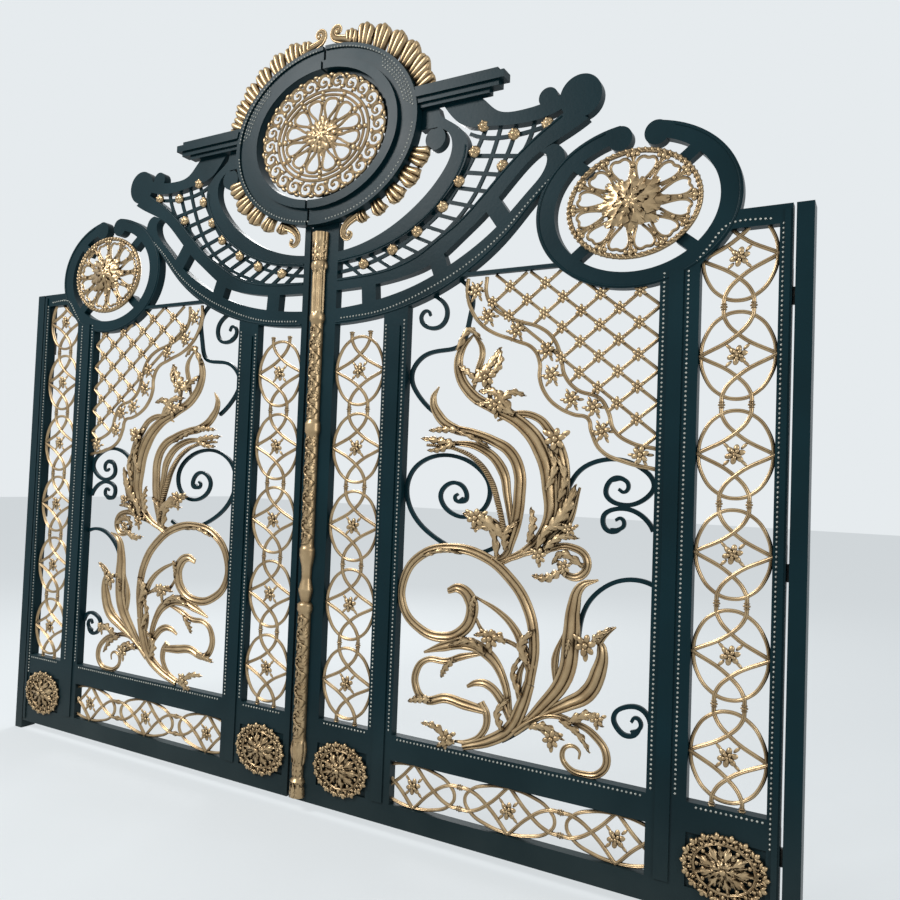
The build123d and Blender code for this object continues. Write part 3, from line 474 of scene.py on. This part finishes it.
bm = bmesh.new()
for points, width in panel_leaves:
    leaf(bm, in_panel(points), 0.72 * width, 2, 5, 13)
thicken(bm, CAST_WALL)
strands(bm, [(in_panel(points), widths, False) for points, widths in panel_strokes], reeded, 16)
for i in range(TWISTS):
    place, heading = path_at(in_panel(twisted_stem), i / (TWISTS - 1))
    ball(bm, place.x, 2, place.y, (15 - 0.12 * i, 9, 6), math.atan2(heading.y, heading.x) + 1.0, 6)
for u, v, radius in panel_flowers:
    flower(bm, PANEL_X + u, PANEL_Z + v, radius, -2)
    for angle in (0.5, 2.6, 4.7):
        ball(bm, PANEL_X + u + radius * math.cos(angle), 2, PANEL_Z + v + radius * math.sin(angle),
             (radius * 0.5, 4, radius * 0.26), angle, 8)
fit_both(bm, "scroll_castings", gilt, "main_scroll")


# Dark scroll ends: the flat bars behind the castings are mild steel, heated and wound to a tight
# curl at each free end, then welded in and enamelled with the frame.
square_bar = section("square_bar_section", [(-0.5, -0.42), (0.5, -0.42), (0.5, 0.42), (-0.5, 0.42)])
bar_ends = [[(880, 1066), (920, 1070), (940, 1048), (926, 1024), (904, 1034)],
            [(880, 886), (910, 890), (928, 908), (916, 930), (896, 922)],
            [(76, 1672), (50, 1695), (52, 1726), (78, 1736), (92, 1716)],
            [(975, 182), (1000, 195), (1008, 220), (988, 236), (974, 218)],
            [(275, 972), (250, 960), (236, 976), (250, 990)]]
bm = bmesh.new()
strands(bm, [(in_panel(points), (15.5, 14, 11), False) for points in bar_ends], square_bar, 33.2)
fit_both(bm, "dark_scroll_ends", enamel)


# Chains: bent half-round bar, an oval round each cast flower and two strands that cross between
# them, gathered by small collars at every waist. The two sides of the bar look the same.
half_round = section("half_round_section", [
    (-0.5, 0.18), (-0.36, 0.42), (-0.12, 0.5), (0.0, 0.4), (0.12, 0.5), (0.36, 0.42), (0.5, 0.18),
    (0.5, -0.18), (0.36, -0.42), (0.12, -0.5), (0.0, -0.4), (-0.12, -0.5), (-0.36, -0.42), (-0.5, -0.18)])
INNER_X, OUTER_X = 222, 1770    # the middles of a leaf's two narrow panels
KICK_Z = 219.5                  # half way up the kick panels
BAR_DEPTH = 20                  # how far the chains' bar lies behind the leaves' front face
OVAL_BAR, CROSS_BAR = 13, 14    # widths of the ovals' bar and of the crossing strands'


def chain(low, high, axis, width, first, pitch, count, upright):
    """A run of chain, trimmed to its bay from low to high. Its ovals sit on the axis at a pitch, from
    the first one's middle on, and the strands between them swing out to the bay's width."""
    def place(along, across):
        return (axis + across, along) if upright else (along, axis + across)

    waist = 96 if upright else 82
    over = OVAL_BAR / 2         # how far past the axis two strands cross
    swell = [(0, -width / 2), (0.2, -over), (0.38, 0.46 * waist), (0.5, waist / 2), (0.62, 0.46 * waist),
             (0.8, -over), (1, -width / 2)]
    strokes = []
    for i in range(count):
        oval = [place(first + i * pitch + (0.46 * pitch - 6) * math.cos(math.pi * k / 6),
                      (width / 2 - 6) * math.sin(math.pi * k / 6)) for k in range(12)]
        strokes.append((oval, (OVAL_BAR,), True))
    for i in range(-1, count):
        for side in (-1, 1):
            strokes.append(([place(first + (i + share) * pitch, side * off) for share, off in swell],
                            (CROSS_BAR,), False))
    bm = bmesh.new()
    strands(bm, strokes, half_round, BAR_DEPTH)
    for i in range(count):
        x, z = place(first + i * pitch, 0)
        flower(bm, x, z, 34, 18)
        flower(bm, x, z, 20, 8, 5, 0.9)
        petals(bm, x, z, 18, 40, (15, 4, 6), 4, math.pi / 4)
    for i in range(-1, count):
        for side in (-1, 1):
            for shift, sizes in ((-9, (4, 10, 11)), (0, (6, 10, 13)), (9, (4, 10, 11))):
                x, z = place(first + (i + 0.5) * pitch + shift, side * waist / 2)
                ball(bm, x, BAR_DEPTH, z, sizes, math.pi / 2 if upright else 0, 8)
    for edge, way in ((low, -1), (high, 1)):
        bmesh.ops.bisect_plane(bm, geom=bm.verts[:] + bm.edges[:] + bm.faces[:],
                               plane_co=(0, 0, edge) if upright else (edge, 0, 0),
                               plane_no=(0, 0, way) if upright else (way, 0, 0), clear_outer=True)
    return bm


for name, low, high, axis, width, first, pitch, count, upright in (
        ("outer_chain", 404, 2337, OUTER_X, 252, 574.5, 333, 6, True),
        ("inner_chain", 404, 2077, INNER_X, 256, 574.5, 333, 5, True),
        ("kick_chain", 463, 1512, KICK_Z, 179, 571.1, 416.4, 3, False)):
    links = chain(low, high, axis, width, first, pitch, count, upright)
    fit_both(links, name + "_strands", gilt, name)


# Corner lattice: half-round rods welded where they cross under small cast flowers, inside a
# double ogee border of the same bar with larger flowers set in it.
RING_X, RING_Z = 1404, 2462     # the middle of the side ring, which the lattice stops at
RING_WIDE, RING_HIGH = 372, 297         # its outer half sizes
CROSS_X, CROSS_Z = 925, 2210            # one of the rods' crossings
STEP_X, STEP_Z = 146, 115               # from one crossing to the next
ROD, BORDER_BAR = 13, 15                # their widths
SHORTEST = 20                           # hundredths of a step that a rod has at least
FLOWERS_END = 1495                      # no flower sits nearer to the side stile
border_outer = [(268, 1850), (266, 1790), (295, 1710), (335, 1662), (385, 1628), (485, 1590), (560, 1555),
                (588, 1500), (590, 1440), (620, 1375), (670, 1330), (730, 1303), (785, 1288), (800, 1240),
                (838, 1172), (935, 1130), (1040, 1108)]
border_inner = [(352, 1850), (350, 1790), (375, 1737), (435, 1690), (495, 1665), (585, 1635), (640, 1590),
                (672, 1520), (690, 1450), (740, 1395), (830, 1360), (862, 1310), (885, 1245), (950, 1200),
                (1040, 1180)]
border_flowers = [(310, 1795), (365, 1690), (490, 1628), (618, 1545), (640, 1450), (722, 1358), (808, 1328),
                  (843, 1240), (985, 1158)]
far_corners = [(1507, 2262), (818, 2262)]
field = [tuple(path_at(in_panel(border_inner), i / 60)[0]) for i in range(61)] + far_corners


def within(x, z):
    """Whether a point lies in the lattice's field."""
    inside = False
    for a, b in zip(field, field[1:] + field[:1]):
        if (a[1] > z) != (b[1] > z) and x < (b[0] - a[0]) * (z - a[1]) / (b[1] - a[1]) + a[0]:
            inside = not inside
    return inside and ((x - RING_X) / RING_WIDE) ** 2 + ((z - RING_Z) / RING_HIGH) ** 2 > 1


rods = []
for lean in (-1, 1):
    for i in range(-7, 12):
        line = [(CROSS_X + STEP_X * (i + k / 100), CROSS_Z + lean * STEP_Z * k / 100)
                for k in range(-600, 601)]
        run = [spot for spot in line if within(*spot)]
        if len(run) > SHORTEST:
            rods.append(([run[0], run[-1]], (ROD,), False))
bm = bmesh.new()
strands(bm, rods, half_round, BAR_DEPTH, 2)
strands(bm, [(in_panel(border), (BORDER_BAR,), False) for border in (border_outer, border_inner)],
        half_round, BAR_DEPTH)
for i in range(-6, 12):
    for k in range(-18, 8):
        x = CROSS_X + STEP_X / 2 * i
        z = CROSS_Z + STEP_Z / 2 * k
        if (i + k) % 2 == 0 and within(x, z) and x < FLOWERS_END:
            flower(bm, x, z, 25, 12, 6, math.pi / 6)
for x, z in in_panel(border_flowers):
    flower(bm, x, z, 32, 13)
    petals(bm, x, z, 17, 33, (15, 4, 6), 6)
fit_both(bm, "lattice_rods", gilt, "corner_lattice")


# Rosettes: pierced castings brazed on the rings and kick plates, with looped or scrolled rims
# about a leafy boss. Every circle of theirs is drawn out a quarter wider than it is high.
WIDER = 1.25
CROWN_Z = 2952                  # the middle of the crown ring, over the meeting line
SIDE_RIM = 238                  # the radius of a side rosette's roped rim


def around(x, z, radius, angle):
    """A point of a rosette, at its radius and an angle in degrees."""
    turn = math.radians(angle)
    return x + radius * math.cos(turn), z + radius / WIDER * math.sin(turn)


def hoop(x, z, radius, width):
    """A plain ring of bar."""
    return ([around(x, z, radius, 15 * k) for k in range(24)], (width,), True)


def loop_ring(x, z, half, width):
    """Twelve loops, each mirrored from half of one: radius, and degrees off the loop's middle."""
    outline = half + [(radius, -off) for radius, off in half[-2:0:-1]]
    return [([around(x, z, radius, 30 * i + 15 + off) for radius, off in outline], (width,), True)
            for i in range(12)]


def curl_ring(x, z, radius, count, size, widths):
    """Scrolls in an even ring, each wound in to its eye: radians round, and share of its size."""
    wound = ((-2.6, 1.0), (-1.9, 0.87), (-1.1, 0.8), (-0.3, 0.78), (0.6, 0.74), (1.5, 0.67), (2.4, 0.57),
             (3.3, 0.46), (4.3, 0.33), (5.3, 0.2))
    strokes = []
    for i in range(count):
        turn = math.radians(360 / count * i)
        mid_x, mid_z = around(x, z, radius, 360 / count * i)
        strokes.append(([(mid_x + share * size * math.cos(turn + way),
                          mid_z + 0.86 * share * size * math.sin(turn + way)) for way, share in wound],
                        widths, False))
    return strokes


def whorl(bm, x, z, count, start, inner, outer, width, front, lift):
    """Leaves in an even ring, from an inner to an outer radius."""
    for i in range(count):
        points = [around(x, z, radius, start + 360 / count * i)
                  for radius in (inner, (inner + outer) / 2, outer)]
        leaf(bm, points, width, front, 3, lift)


def boss(bm, x, z, reach, front, lift):
    """Three whorls of leaves that rise to a knob."""
    for level, (count, start, inner, outer, width) in enumerate((
            (8, 0, 0.1, 1.0, 0.62), (8, 22.5, 0.06, 0.84, 0.5), (6, 10, 0.02, 0.5, 0.3))):
        whorl(bm, x, z, count, start, reach * inner, reach * outer, reach * width,
              front - level * lift * 0.3, lift * 0.45)


def knobs(bm, x, z, front, count, kinds):
    """Knobs in an even ring: each kind has its radius, degrees off, half sizes and lean."""
    for i in range(count):
        for radius, off, sizes, lean in kinds:
            angle = 360 / count * i + off
            spot = around(x, z, radius, angle)
            ball(bm, spot[0], front, spot[1], sizes, math.radians(angle) + lean, 8)


# The side rings' rosettes, with a roped rim.
bm = bmesh.new()
boss(bm, RING_X, RING_Z, 124, -17, 30)
thicken(bm, CAST_WALL)
side_loop = [(84, 0), (112, 7), (145, 11.2), (178, 12), (201, 9.5), (211, 5.2), (206, 0)]
strands(bm, [hoop(RING_X, RING_Z, SIDE_RIM, 18)] + loop_ring(RING_X, RING_Z, side_loop, 11),
        half_round, -10, 4)
strands(bm, [([around(RING_X, RING_Z, radius, 30 * i) for radius in (118, 160, 196, 228)],
              (7, 9, 13, 38), False) for i in range(12)], reeded, -13)
knobs(bm, RING_X, RING_Z, -14, 64, [(SIDE_RIM, 0, (15, 10, 6.5), 0.8)])
for i in range(12):
    for radius, off, size in ((170, 0, 8), (222, 0, 11), (219, 4.6, 9), (219, -4.6, 9)):
        x, z = around(RING_X, RING_Z, radius, 30 * i + off)
        ball(bm, x, -19, z, (size, 7, size), 0, 8)
knobs(bm, RING_X, RING_Z, -41, 6, [(21, 0, (10, 6, 7), 0)])
ball(bm, RING_X, -43, RING_Z, (11, 6, 10))
fit_both(bm, "side_rosette_casting", gilt, "side_rosette")

# The crown's rosette, on a domed boss, with a rim of scrolls and buds.
bm = bmesh.new()
boss(bm, 0, CROWN_Z, 102, -24, 22)
thicken(bm, CAST_WALL)
ball(bm, 0, -20, CROWN_Z, (84, 14, 67), 0, 48)
crown_loop = [(84, 0), (112, 7.5), (145, 11.6), (175, 12.2), (197, 8.8), (205, 0)]
strands(bm, [hoop(0, CROWN_Z, 249, 14), hoop(0, CROWN_Z, 224, 12)] + loop_ring(0, CROWN_Z, crown_loop, 12)
        + curl_ring(0, CROWN_Z, 299, 24, 46, (10, 14, 13, 11, 8)), half_round, -27, 4)
knobs(bm, 0, CROWN_Z, -30, 24, [(336, 7.5, (9, 8, 16), 0.0), (326, 4.2, (8, 7, 13), 0.7),
                                (326, 10.8, (8, 7, 13), -0.7), (272, 7.5, (8, 8, 14), 0.0),
                                (299, 0, (8, 7, 8), 0.0)])
for i in range(12):
    for radius, size in ((178, 8), (206, 14), (236, 11)):
        x, z = around(0, CROWN_Z, radius, 30 * i)
        ball(bm, x, -31, z, (size, 9, size), 0, 8)
for radius, front, count, size in ((68, -31, 11, 21), (40, -37, 8, 17), (18, -41, 5, 11)):
    knobs(bm, 0, CROWN_Z, front, count, [(radius, radius, (size, 6.5, 0.62 * size), 0)])
ball(bm, 0, -43, CROWN_Z, (11, 6.5, 9))
fit(bm, "centre_rosette_casting", "right", gilt, ["centre_rosette"])
bm.free()

# The kick panels' rosettes, flatter and scrolled like the crown's.
bm = bmesh.new()
for x in (INNER_X, OUTER_X):
    whorl(bm, x, KICK_Z, 9, 0, 10, 98, 30, -3, 17)
    whorl(bm, x, KICK_Z, 9, 20, 22, 84, 20, -2, 9)
    whorl(bm, x, KICK_Z, 7, 8, 2, 44, 24, -14, 12)
thicken(bm, CAST_WALL)
for x in (INNER_X, OUTER_X):
    strands(bm, [hoop(x, KICK_Z, 98, 10), hoop(x, KICK_Z, 125, 8)]
            + curl_ring(x, KICK_Z, 113, 18, 19, (6, 9, 8, 7, 5)), half_round, -5, 3)
    knobs(bm, x, KICK_Z, -8, 18, [(131, 0, (12, 8, 9), 0.0), (126, 5, (12, 9, 6), 0.9),
                                  (126, -5, (12, 9, 6), -0.9), (110, 10, (9, 9, 6), 0.0)])
    for i in range(9):
        spot = around(x, KICK_Z, 86, 40 * i + 20)
        ball(bm, spot[0], -6, spot[1], (8, 7, 8), 0, 8)
    ball(bm, x, -30, KICK_Z, (12, 8, 10))
fit_both(bm, "kick_rosette_casting", gilt, "kick_rosettes")


# Cresting: cast leaves of three broad fingers, brazed side by side round the crown ring, with a
# reeded scroll and a bud at each end.
CREST_RADIUS = 490
CREST_WALL = 11
LEAF_WIDTH = 96
ROLL = 0.93                     # the share of its length from which a leaf rolls over


def tongue(bm, x, z, angle, length, width, front):
    """A leaf of three broad fingers with deep flutes between them, rolled over at the tip."""
    made = bmesh.ops.create_grid(bm, x_segments=20, y_segments=30, size=0.5)
    way = Vector((math.cos(angle), math.sin(angle)))
    for vert in made["verts"]:
        t = vert.co.x + 0.5     # 0 on the ring, 1 at the tip
        s = vert.co.y * 2       # 0 on the middle finger, -1 and 1 on the edges
        finger = abs(math.cos(1.5 * math.pi * s))
        half = width / 2 * (0.66 + 0.42 * t) * (1 - 0.12 * max(t - 0.8, 0) / 0.2)
        reach = length * t * (1 - (0.06 * (1 - math.sqrt(finger)) + 0.2 * s * s) * t * t)
        spot = Vector((x, z)) + way * reach + Vector((-way.y, way.x)) * (s * half + 0.08 * length * t * t)
        ridge = 12 * (finger ** 0.7 - 0.5) * (0.5 + 0.5 * t)
        rise = 4 + 9 * math.sin(math.pi * min(t * 0.8, 1)) + ridge - 6 * s * s
        if t > ROLL:
            rise -= 90 * (t - ROLL)
        vert.co = (spot.x, front - rise, spot.y)


bm = bmesh.new()
for angle, reach in ((17, 92), (26.5, 104), (36.5, 108), (47, 108), (57.5, 108), (67.5, 100), (75.5, 72),
                     (-22, 88), (-33, 92), (-44, 84), (-55, 70), (-65, 52)):
    x, z = around(0, CROWN_Z, CREST_RADIUS, angle)
    lean = math.atan2(math.sin(math.radians(angle)) * WIDER, math.cos(math.radians(angle)))
    tongue(bm, x, z, lean, reach + 9, LEAF_WIDTH * min(1, reach / 90), -10)
thicken(bm, CREST_WALL)
upper_scroll = [(132, 3346), (96, 3368), (62, 3380), (34, 3394), (24, 3418), (38, 3438), (58, 3436),
                (62, 3418), (50, 3410)]
lower_scroll = [(206, 2579), (168, 2562), (140, 2540), (126, 2512), (134, 2488), (156, 2482), (168, 2496),
                (160, 2508)]
strands(bm, [(upper_scroll, (52, 40, 30, 22, 16), False), (lower_scroll, (46, 36, 28, 20, 14), False)],
        reeded, -10)
for x, z in ((50, 3414), (158, 2502)):
    ball(bm, x, -16, z, (11, 7, 11))
fit_both(bm, "cresting_leaves", gilt, "cresting")


# Net band buttons: small domed castings in the shape of a flower, gilt like the rest, brazed on
# the net's crossings along both of its edges.
bm = bmesh.new()
for x, z in ((228, 2365), (373, 2412), (492, 2475), (610, 2563), (682, 2657), (748, 2768), (785, 2865),
             (920, 2808), (1060, 2825), (875, 2690)):
    ball(bm, x, 8, z, (26, 13, 24))
    ball(bm, x, -3, z, (11, 6, 10))
    for i in range(5):
        angle = 0.5 + 2 * math.pi / 5 * i
        ball(bm, x + 15 * math.cos(angle), 1, z + 14 * math.sin(angle), (9, 5, 6), angle, 6)
fit_both(bm, "net_buttons", gilt)


# Column: a half-round casting with a flat back, carried by the right leaf and lapping over the
# left one. It is turned in rings and knots, fluted near the top, with climbing vine between.
COLUMN_HALF = 36                # half its width, at the profile's share of 1
COLUMN_FOOT = 62
COLUMN_HEIGHT = 2465.8
TURNED_STEP = 6                 # the mesh's step along its height
SHAFT = 31                      # the half width that the vine bends round
VINE_PITCH = 62                 # about how far apart its leaves sprout
column_profile = [(0.0, 1.0), (0.014, 1.0), (0.02, 0.8), (0.028, 1.04), (0.034, 0.7), (0.055, 0.72),
                  (0.08, 1.04), (0.1, 0.88), (0.32, 0.88), (0.325, 1.04), (0.335, 1.04), (0.34, 0.66),
                  (0.36, 1.0), (0.38, 0.66), (0.4, 0.72), (0.42, 1.04), (0.432, 1.04), (0.437, 0.88),
                  (0.635, 0.88), (0.64, 1.04), (0.655, 1.04), (0.66, 0.88), (0.835, 0.88), (0.84, 1.04),
                  (0.848, 1.04), (0.853, 0.95), (0.93, 0.95), (0.935, 1.06), (0.943, 1.06), (0.948, 0.9),
                  (0.975, 1.0), (1.0, 1.08)]
sunk_runs = ((310, 848), (1142, 1625), (1692, 2118))
vine_runs = ((318, 846), (1150, 1618), (1698, 2112))

bm = bmesh.new()
edge = []
for (start, share), (end, next_share) in zip(column_profile, column_profile[1:]):
    steps = max(1, round((end - start) * COLUMN_HEIGHT / TURNED_STEP))
    for i in range(steps):
        h = start + (end - start) * i / steps
        r = share + (next_share - share) * i / steps
        edge.append(bm.verts.new((-COLUMN_HALF * r, 0, COLUMN_FOOT + COLUMN_HEIGHT * h)))
for a, b in zip(edge, edge[1:]):
    bm.edges.new((a, b))
bmesh.ops.spin(bm, geom=bm.verts[:] + bm.edges[:], cent=(0, 0, 0), axis=(0, 0, 1), angle=math.pi, steps=40)
back_edges = [side for side in bm.edges
              if side.is_boundary and max(abs(vert.co.y) for vert in side.verts) < 0.01]
bmesh.ops.bridge_loops(bm, edges=back_edges)
bmesh.ops.holes_fill(bm, edges=[side for side in bm.edges if side.is_boundary], sides=0)
bmesh.ops.recalc_face_normals(bm, faces=bm.faces)
for vert in bm.verts:
    turn = math.atan2(-vert.co.y, vert.co.x)
    z = vert.co.z
    relief = 0
    # In turn: flutes, the lobed collar and capital, runs sunk under the vine, and the lobed vase.
    if 2163 < z < 2351:
        relief = -3.2 * (0.5 + 0.5 * math.cos(14 * turn))
    elif 2360 < z < 2385 or z > 2405:
        relief = 3.5 * abs(math.cos(4 * turn)) - 1
    elif any(low < z < high for low, high in sunk_runs):
        relief = -1.5
    elif 200 < z < 300:
        relief = 3 * abs(math.cos(4 * turn))
    stretch = 1 + relief / max(math.hypot(vert.co.x, vert.co.y), 1)
    vert.co.x *= stretch
    vert.co.y *= stretch

vine = bmesh.new()
for low, high in vine_runs:
    turns = round((high - low) / VINE_PITCH)
    pitch = (high - low) / turns
    for i in range(turns):
        z = low + i * pitch
        hand = -1 if i % 2 else 1
        leaf(vine, [(-20 * hand, z), (4 * hand, z + 4), (19 * hand, z + 20), (17 * hand, z + 42),
                    (0, z + 52), (-11 * hand, z + 40), (-3 * hand, z + 30)], 18, -25, 5, 8)
        leaf(vine, [(-24 * hand, z + 14), (-19 * hand, z + 34), (-24 * hand, z + 58)], 19, -24, 3, 6)
        ball(bm, 7 * hand, -33, z + 0.56 * pitch, (5, 5, 5), 0, 6)
for x in (-20, 0, 20):
    leaf(vine, [(x * 0.8, 2396), (x * 1.1, 2440), (x * 1.5, 2512)], 30, -30, 4, 8)
    leaf(vine, [(x, 2368), (x, 2352), (x * 1.1, 2338)], 16, -28, 3, 5)
    leaf(vine, [(x * 0.9, 300), (x * 1.2, 262), (x, 212)], 22, -28, 3, 6)
    leaf(vine, [(x * 0.7, 150), (x * 0.8, 178), (x * 1.1, 214)], 22, -20, 3, 6)
    leaf(vine, [(x * 1.1, 66), (x * 1.2, 90), (x, 122)], 24, -31, 3, 5)
thicken(vine, CAST_WALL)
# The vine, drawn flat, is bent round the shaft.
for vert in vine.verts:
    vert.co.y -= 5 - SHAFT + math.sqrt(max(SHAFT ** 2 - vert.co.x ** 2, 90))
bent = bpy.data.meshes.new("vine")
vine.to_mesh(bent)
vine.free()
bm.from_mesh(bent)
bpy.data.meshes.remove(bent)
fit(bm, "column_casting", "right", gilt, ["column"])
bm.free()


# Beads and strips: small rivet heads in rows along the arcs, stiles and rails, and flat bars
# welded down the middle of the wider stiles, under the same enamel. The heads are coloured pale grey to
# cream, a painted highlight for the glints on dark gloss heads.
GLINT_SPOT = 16.67       # mm across the spots where the painted highlight on the heads is paler or greyer
heads, tree = new_material("rivet_heads_pale_painted_glint")
place = add_node(tree, "ShaderNodeTexCoord", {})
glint_spots = add_node(tree, "ShaderNodeTexNoise", {"Scale": 1000 / GLINT_SPOT, "Detail": 2.0},
                 [("Vector", place.outputs["Object"])])
# Painted highlight: pale grey to cream in place of the glints on dark gloss heads.
paint = add_node(tree, "ShaderNodeMix",
                 {"data_type": "RGBA", MIX_FROM: linear("#6A726E"), MIX_TO: linear("#DAD8CD")},
                 [(0, glint_spots.outputs["Fac"])])
gloss = add_node(tree, "ShaderNodeMapRange", {"To Min": 0.2, "To Max": 0.45},
                 [("Value", glint_spots.outputs["Fac"])])
shader = add_node(tree, "ShaderNodeBsdfPrincipled", {"Metallic": 0.5},
                  [("Base Color", paint.outputs[MIXED]), ("Roughness", gloss.outputs[0])])
add_node(tree, "ShaderNodeOutputMaterial", {}, [(0, shader.outputs[0])])


def bead_row(bm, points, gap, size, front):
    """Rivet heads at an even gap along a smooth line, which is walked in short paces."""
    paces = 2000
    run = 0
    last = path_at(points, 0)[0]
    for i in range(paces + 1):
        place = path_at(points, i / paces)[0]
        run += (place - last).length
        last = place
        if run >= gap:
            run -= gap
            ball(bm, place.x, front, place.y, (size, size * 0.9, size), 0, 6)


bm = bmesh.new()
for points in ([(110, 2136), (300, 2150), (450, 2186), (600, 2244), (700, 2292), (800, 2352), (900, 2430),
                (1000, 2532), (1075, 2600)],
               [(1523, 410), (1523, 1300), (1523, 2205)], [(1606, 410), (1606, 1300), (1606, 2205)],
               [(1624, 2222), (1668, 2276), (1740, 2352), (1880, 2352)],
               [(362, 410), (362, 1200), (362, 2100)], [(452, 410), (452, 1200), (452, 2110)],
               [(1908, 300), (1908, 1300), (1908, 2340)], [(1660, 395), (1770, 395), (1890, 395)],
               [(480, 395), (1000, 395), (1495, 395)], [(110, 395), (222, 395), (340, 395)]):
    bead_row(bm, points, 16, 4.4, 0)
for radius, start, end, front in ((480, 4, 86, -40), (466, 6, 50, -32), (452, 8, 48, -32), (438, 10, 46, -32),
                                  (480, -86, -4, -40)):
    arc = [around(0, CROWN_Z, radius, start + (end - start) * i / 12) for i in range(13)]
    bead_row(bm, arc, 17, 4.2, front)
for i in range(7):
    x, z = around(0, CROWN_Z, 385, -80 + 26 * i)
    ball(bm, x, -46, z, (5, 4, 5), 0, 6)
fit_both(bm, "rivet_heads", heads)

STRIP_DEPTH, STRIP_THICK = -2.5, 7      # the flat bars' middle, and their thickness
LINE_WIDTH = 9                          # of the oval bars along the arcs
bm = bmesh.new()
for x0, x1, z0, z1 in ((1540, 1590, 130, 2210), (380, 434, 130, 2085), (1912, 1930, 60, 2380)):
    middle = Matrix.Translation(((x0 + x1) / 2, STRIP_DEPTH, (z0 + z1) / 2))
    bmesh.ops.create_cube(bm, size=1, matrix=middle @ Matrix.Diagonal((x1 - x0, STRIP_THICK, z1 - z0, 1)))
flat_oval = section("flat_oval_section", [(-0.5, 0.0), (-0.35, 0.3), (0.0, 0.42), (0.35, 0.3), (0.5, 0.0),
                                          (0.3, -0.2), (-0.3, -0.2)])
arc_lines = [[(96, 2121), (300, 2136), (500, 2180), (700, 2266), (900, 2412), (1010, 2530), (1092, 2614)],
             [(96, 2304), (300, 2316), (400, 2333), (500, 2367), (600, 2427), (700, 2492), (800, 2582),
              (900, 2680), (1000, 2762), (1120, 2840)],
             [(96, 2392), (300, 2424), (500, 2509), (630, 2622), (702, 2745), (710, 2800)],
             [around(RING_X, RING_Z, 366, 108 + 11 * i) for i in range(30)]]
strands(bm, [(points, (LINE_WIDTH,), False) for points in arc_lines], flat_oval, 0)
fit_both(bm, "raised_lines", enamel)


# Hinges: turned and greased steel barrels, their upper halves welded to the leaves and their
# lower ones to the posts, painted with the gate and rubbed bright at the joint.
RUBBED_PATCH = 28.57    # mm across the patches where the paint has gone
steel, tree = new_material("painted_steel_rubbed_at_the_knuckle")
place = add_node(tree, "ShaderNodeTexCoord", {})
rubbed = add_node(tree, "ShaderNodeTexNoise", {"Scale": 1000 / RUBBED_PATCH, "Detail": 4.0},
                  [("Vector", place.outputs["Object"])])
bare = add_node(tree, "ShaderNodeMapRange", {"From Min": 0.52, "From Max": 0.7},
                [("Value", rubbed.outputs["Fac"])])
paint = add_node(tree, "ShaderNodeMix",
                 {"data_type": "RGBA", MIX_FROM: linear("#16201F"), MIX_TO: linear("#6E6A62")},
                 [(0, bare.outputs[0])])
gloss = add_node(tree, "ShaderNodeMapRange", {"To Min": 0.5, "To Max": 0.3}, [("Value", bare.outputs[0])])
shader = add_node(tree, "ShaderNodeBsdfPrincipled", {},
                  [("Base Color", paint.outputs[MIXED]), ("Roughness", gloss.outputs[0]),
                   ("Metallic", bare.outputs[0])])
add_node(tree, "ShaderNodeOutputMaterial", {}, [(0, shader.outputs[0])])
for side in ("left_", "right_"):
    for name in ("post_hinges", "leaf_hinges"):
        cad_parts[side + name].data.materials[0] = steel

# The cross-sections were only for drawing, and are no pieces of the gate.
for shape in (reeded, square_bar, half_round, flat_oval):
    bpy.data.curves.remove(shape.data)
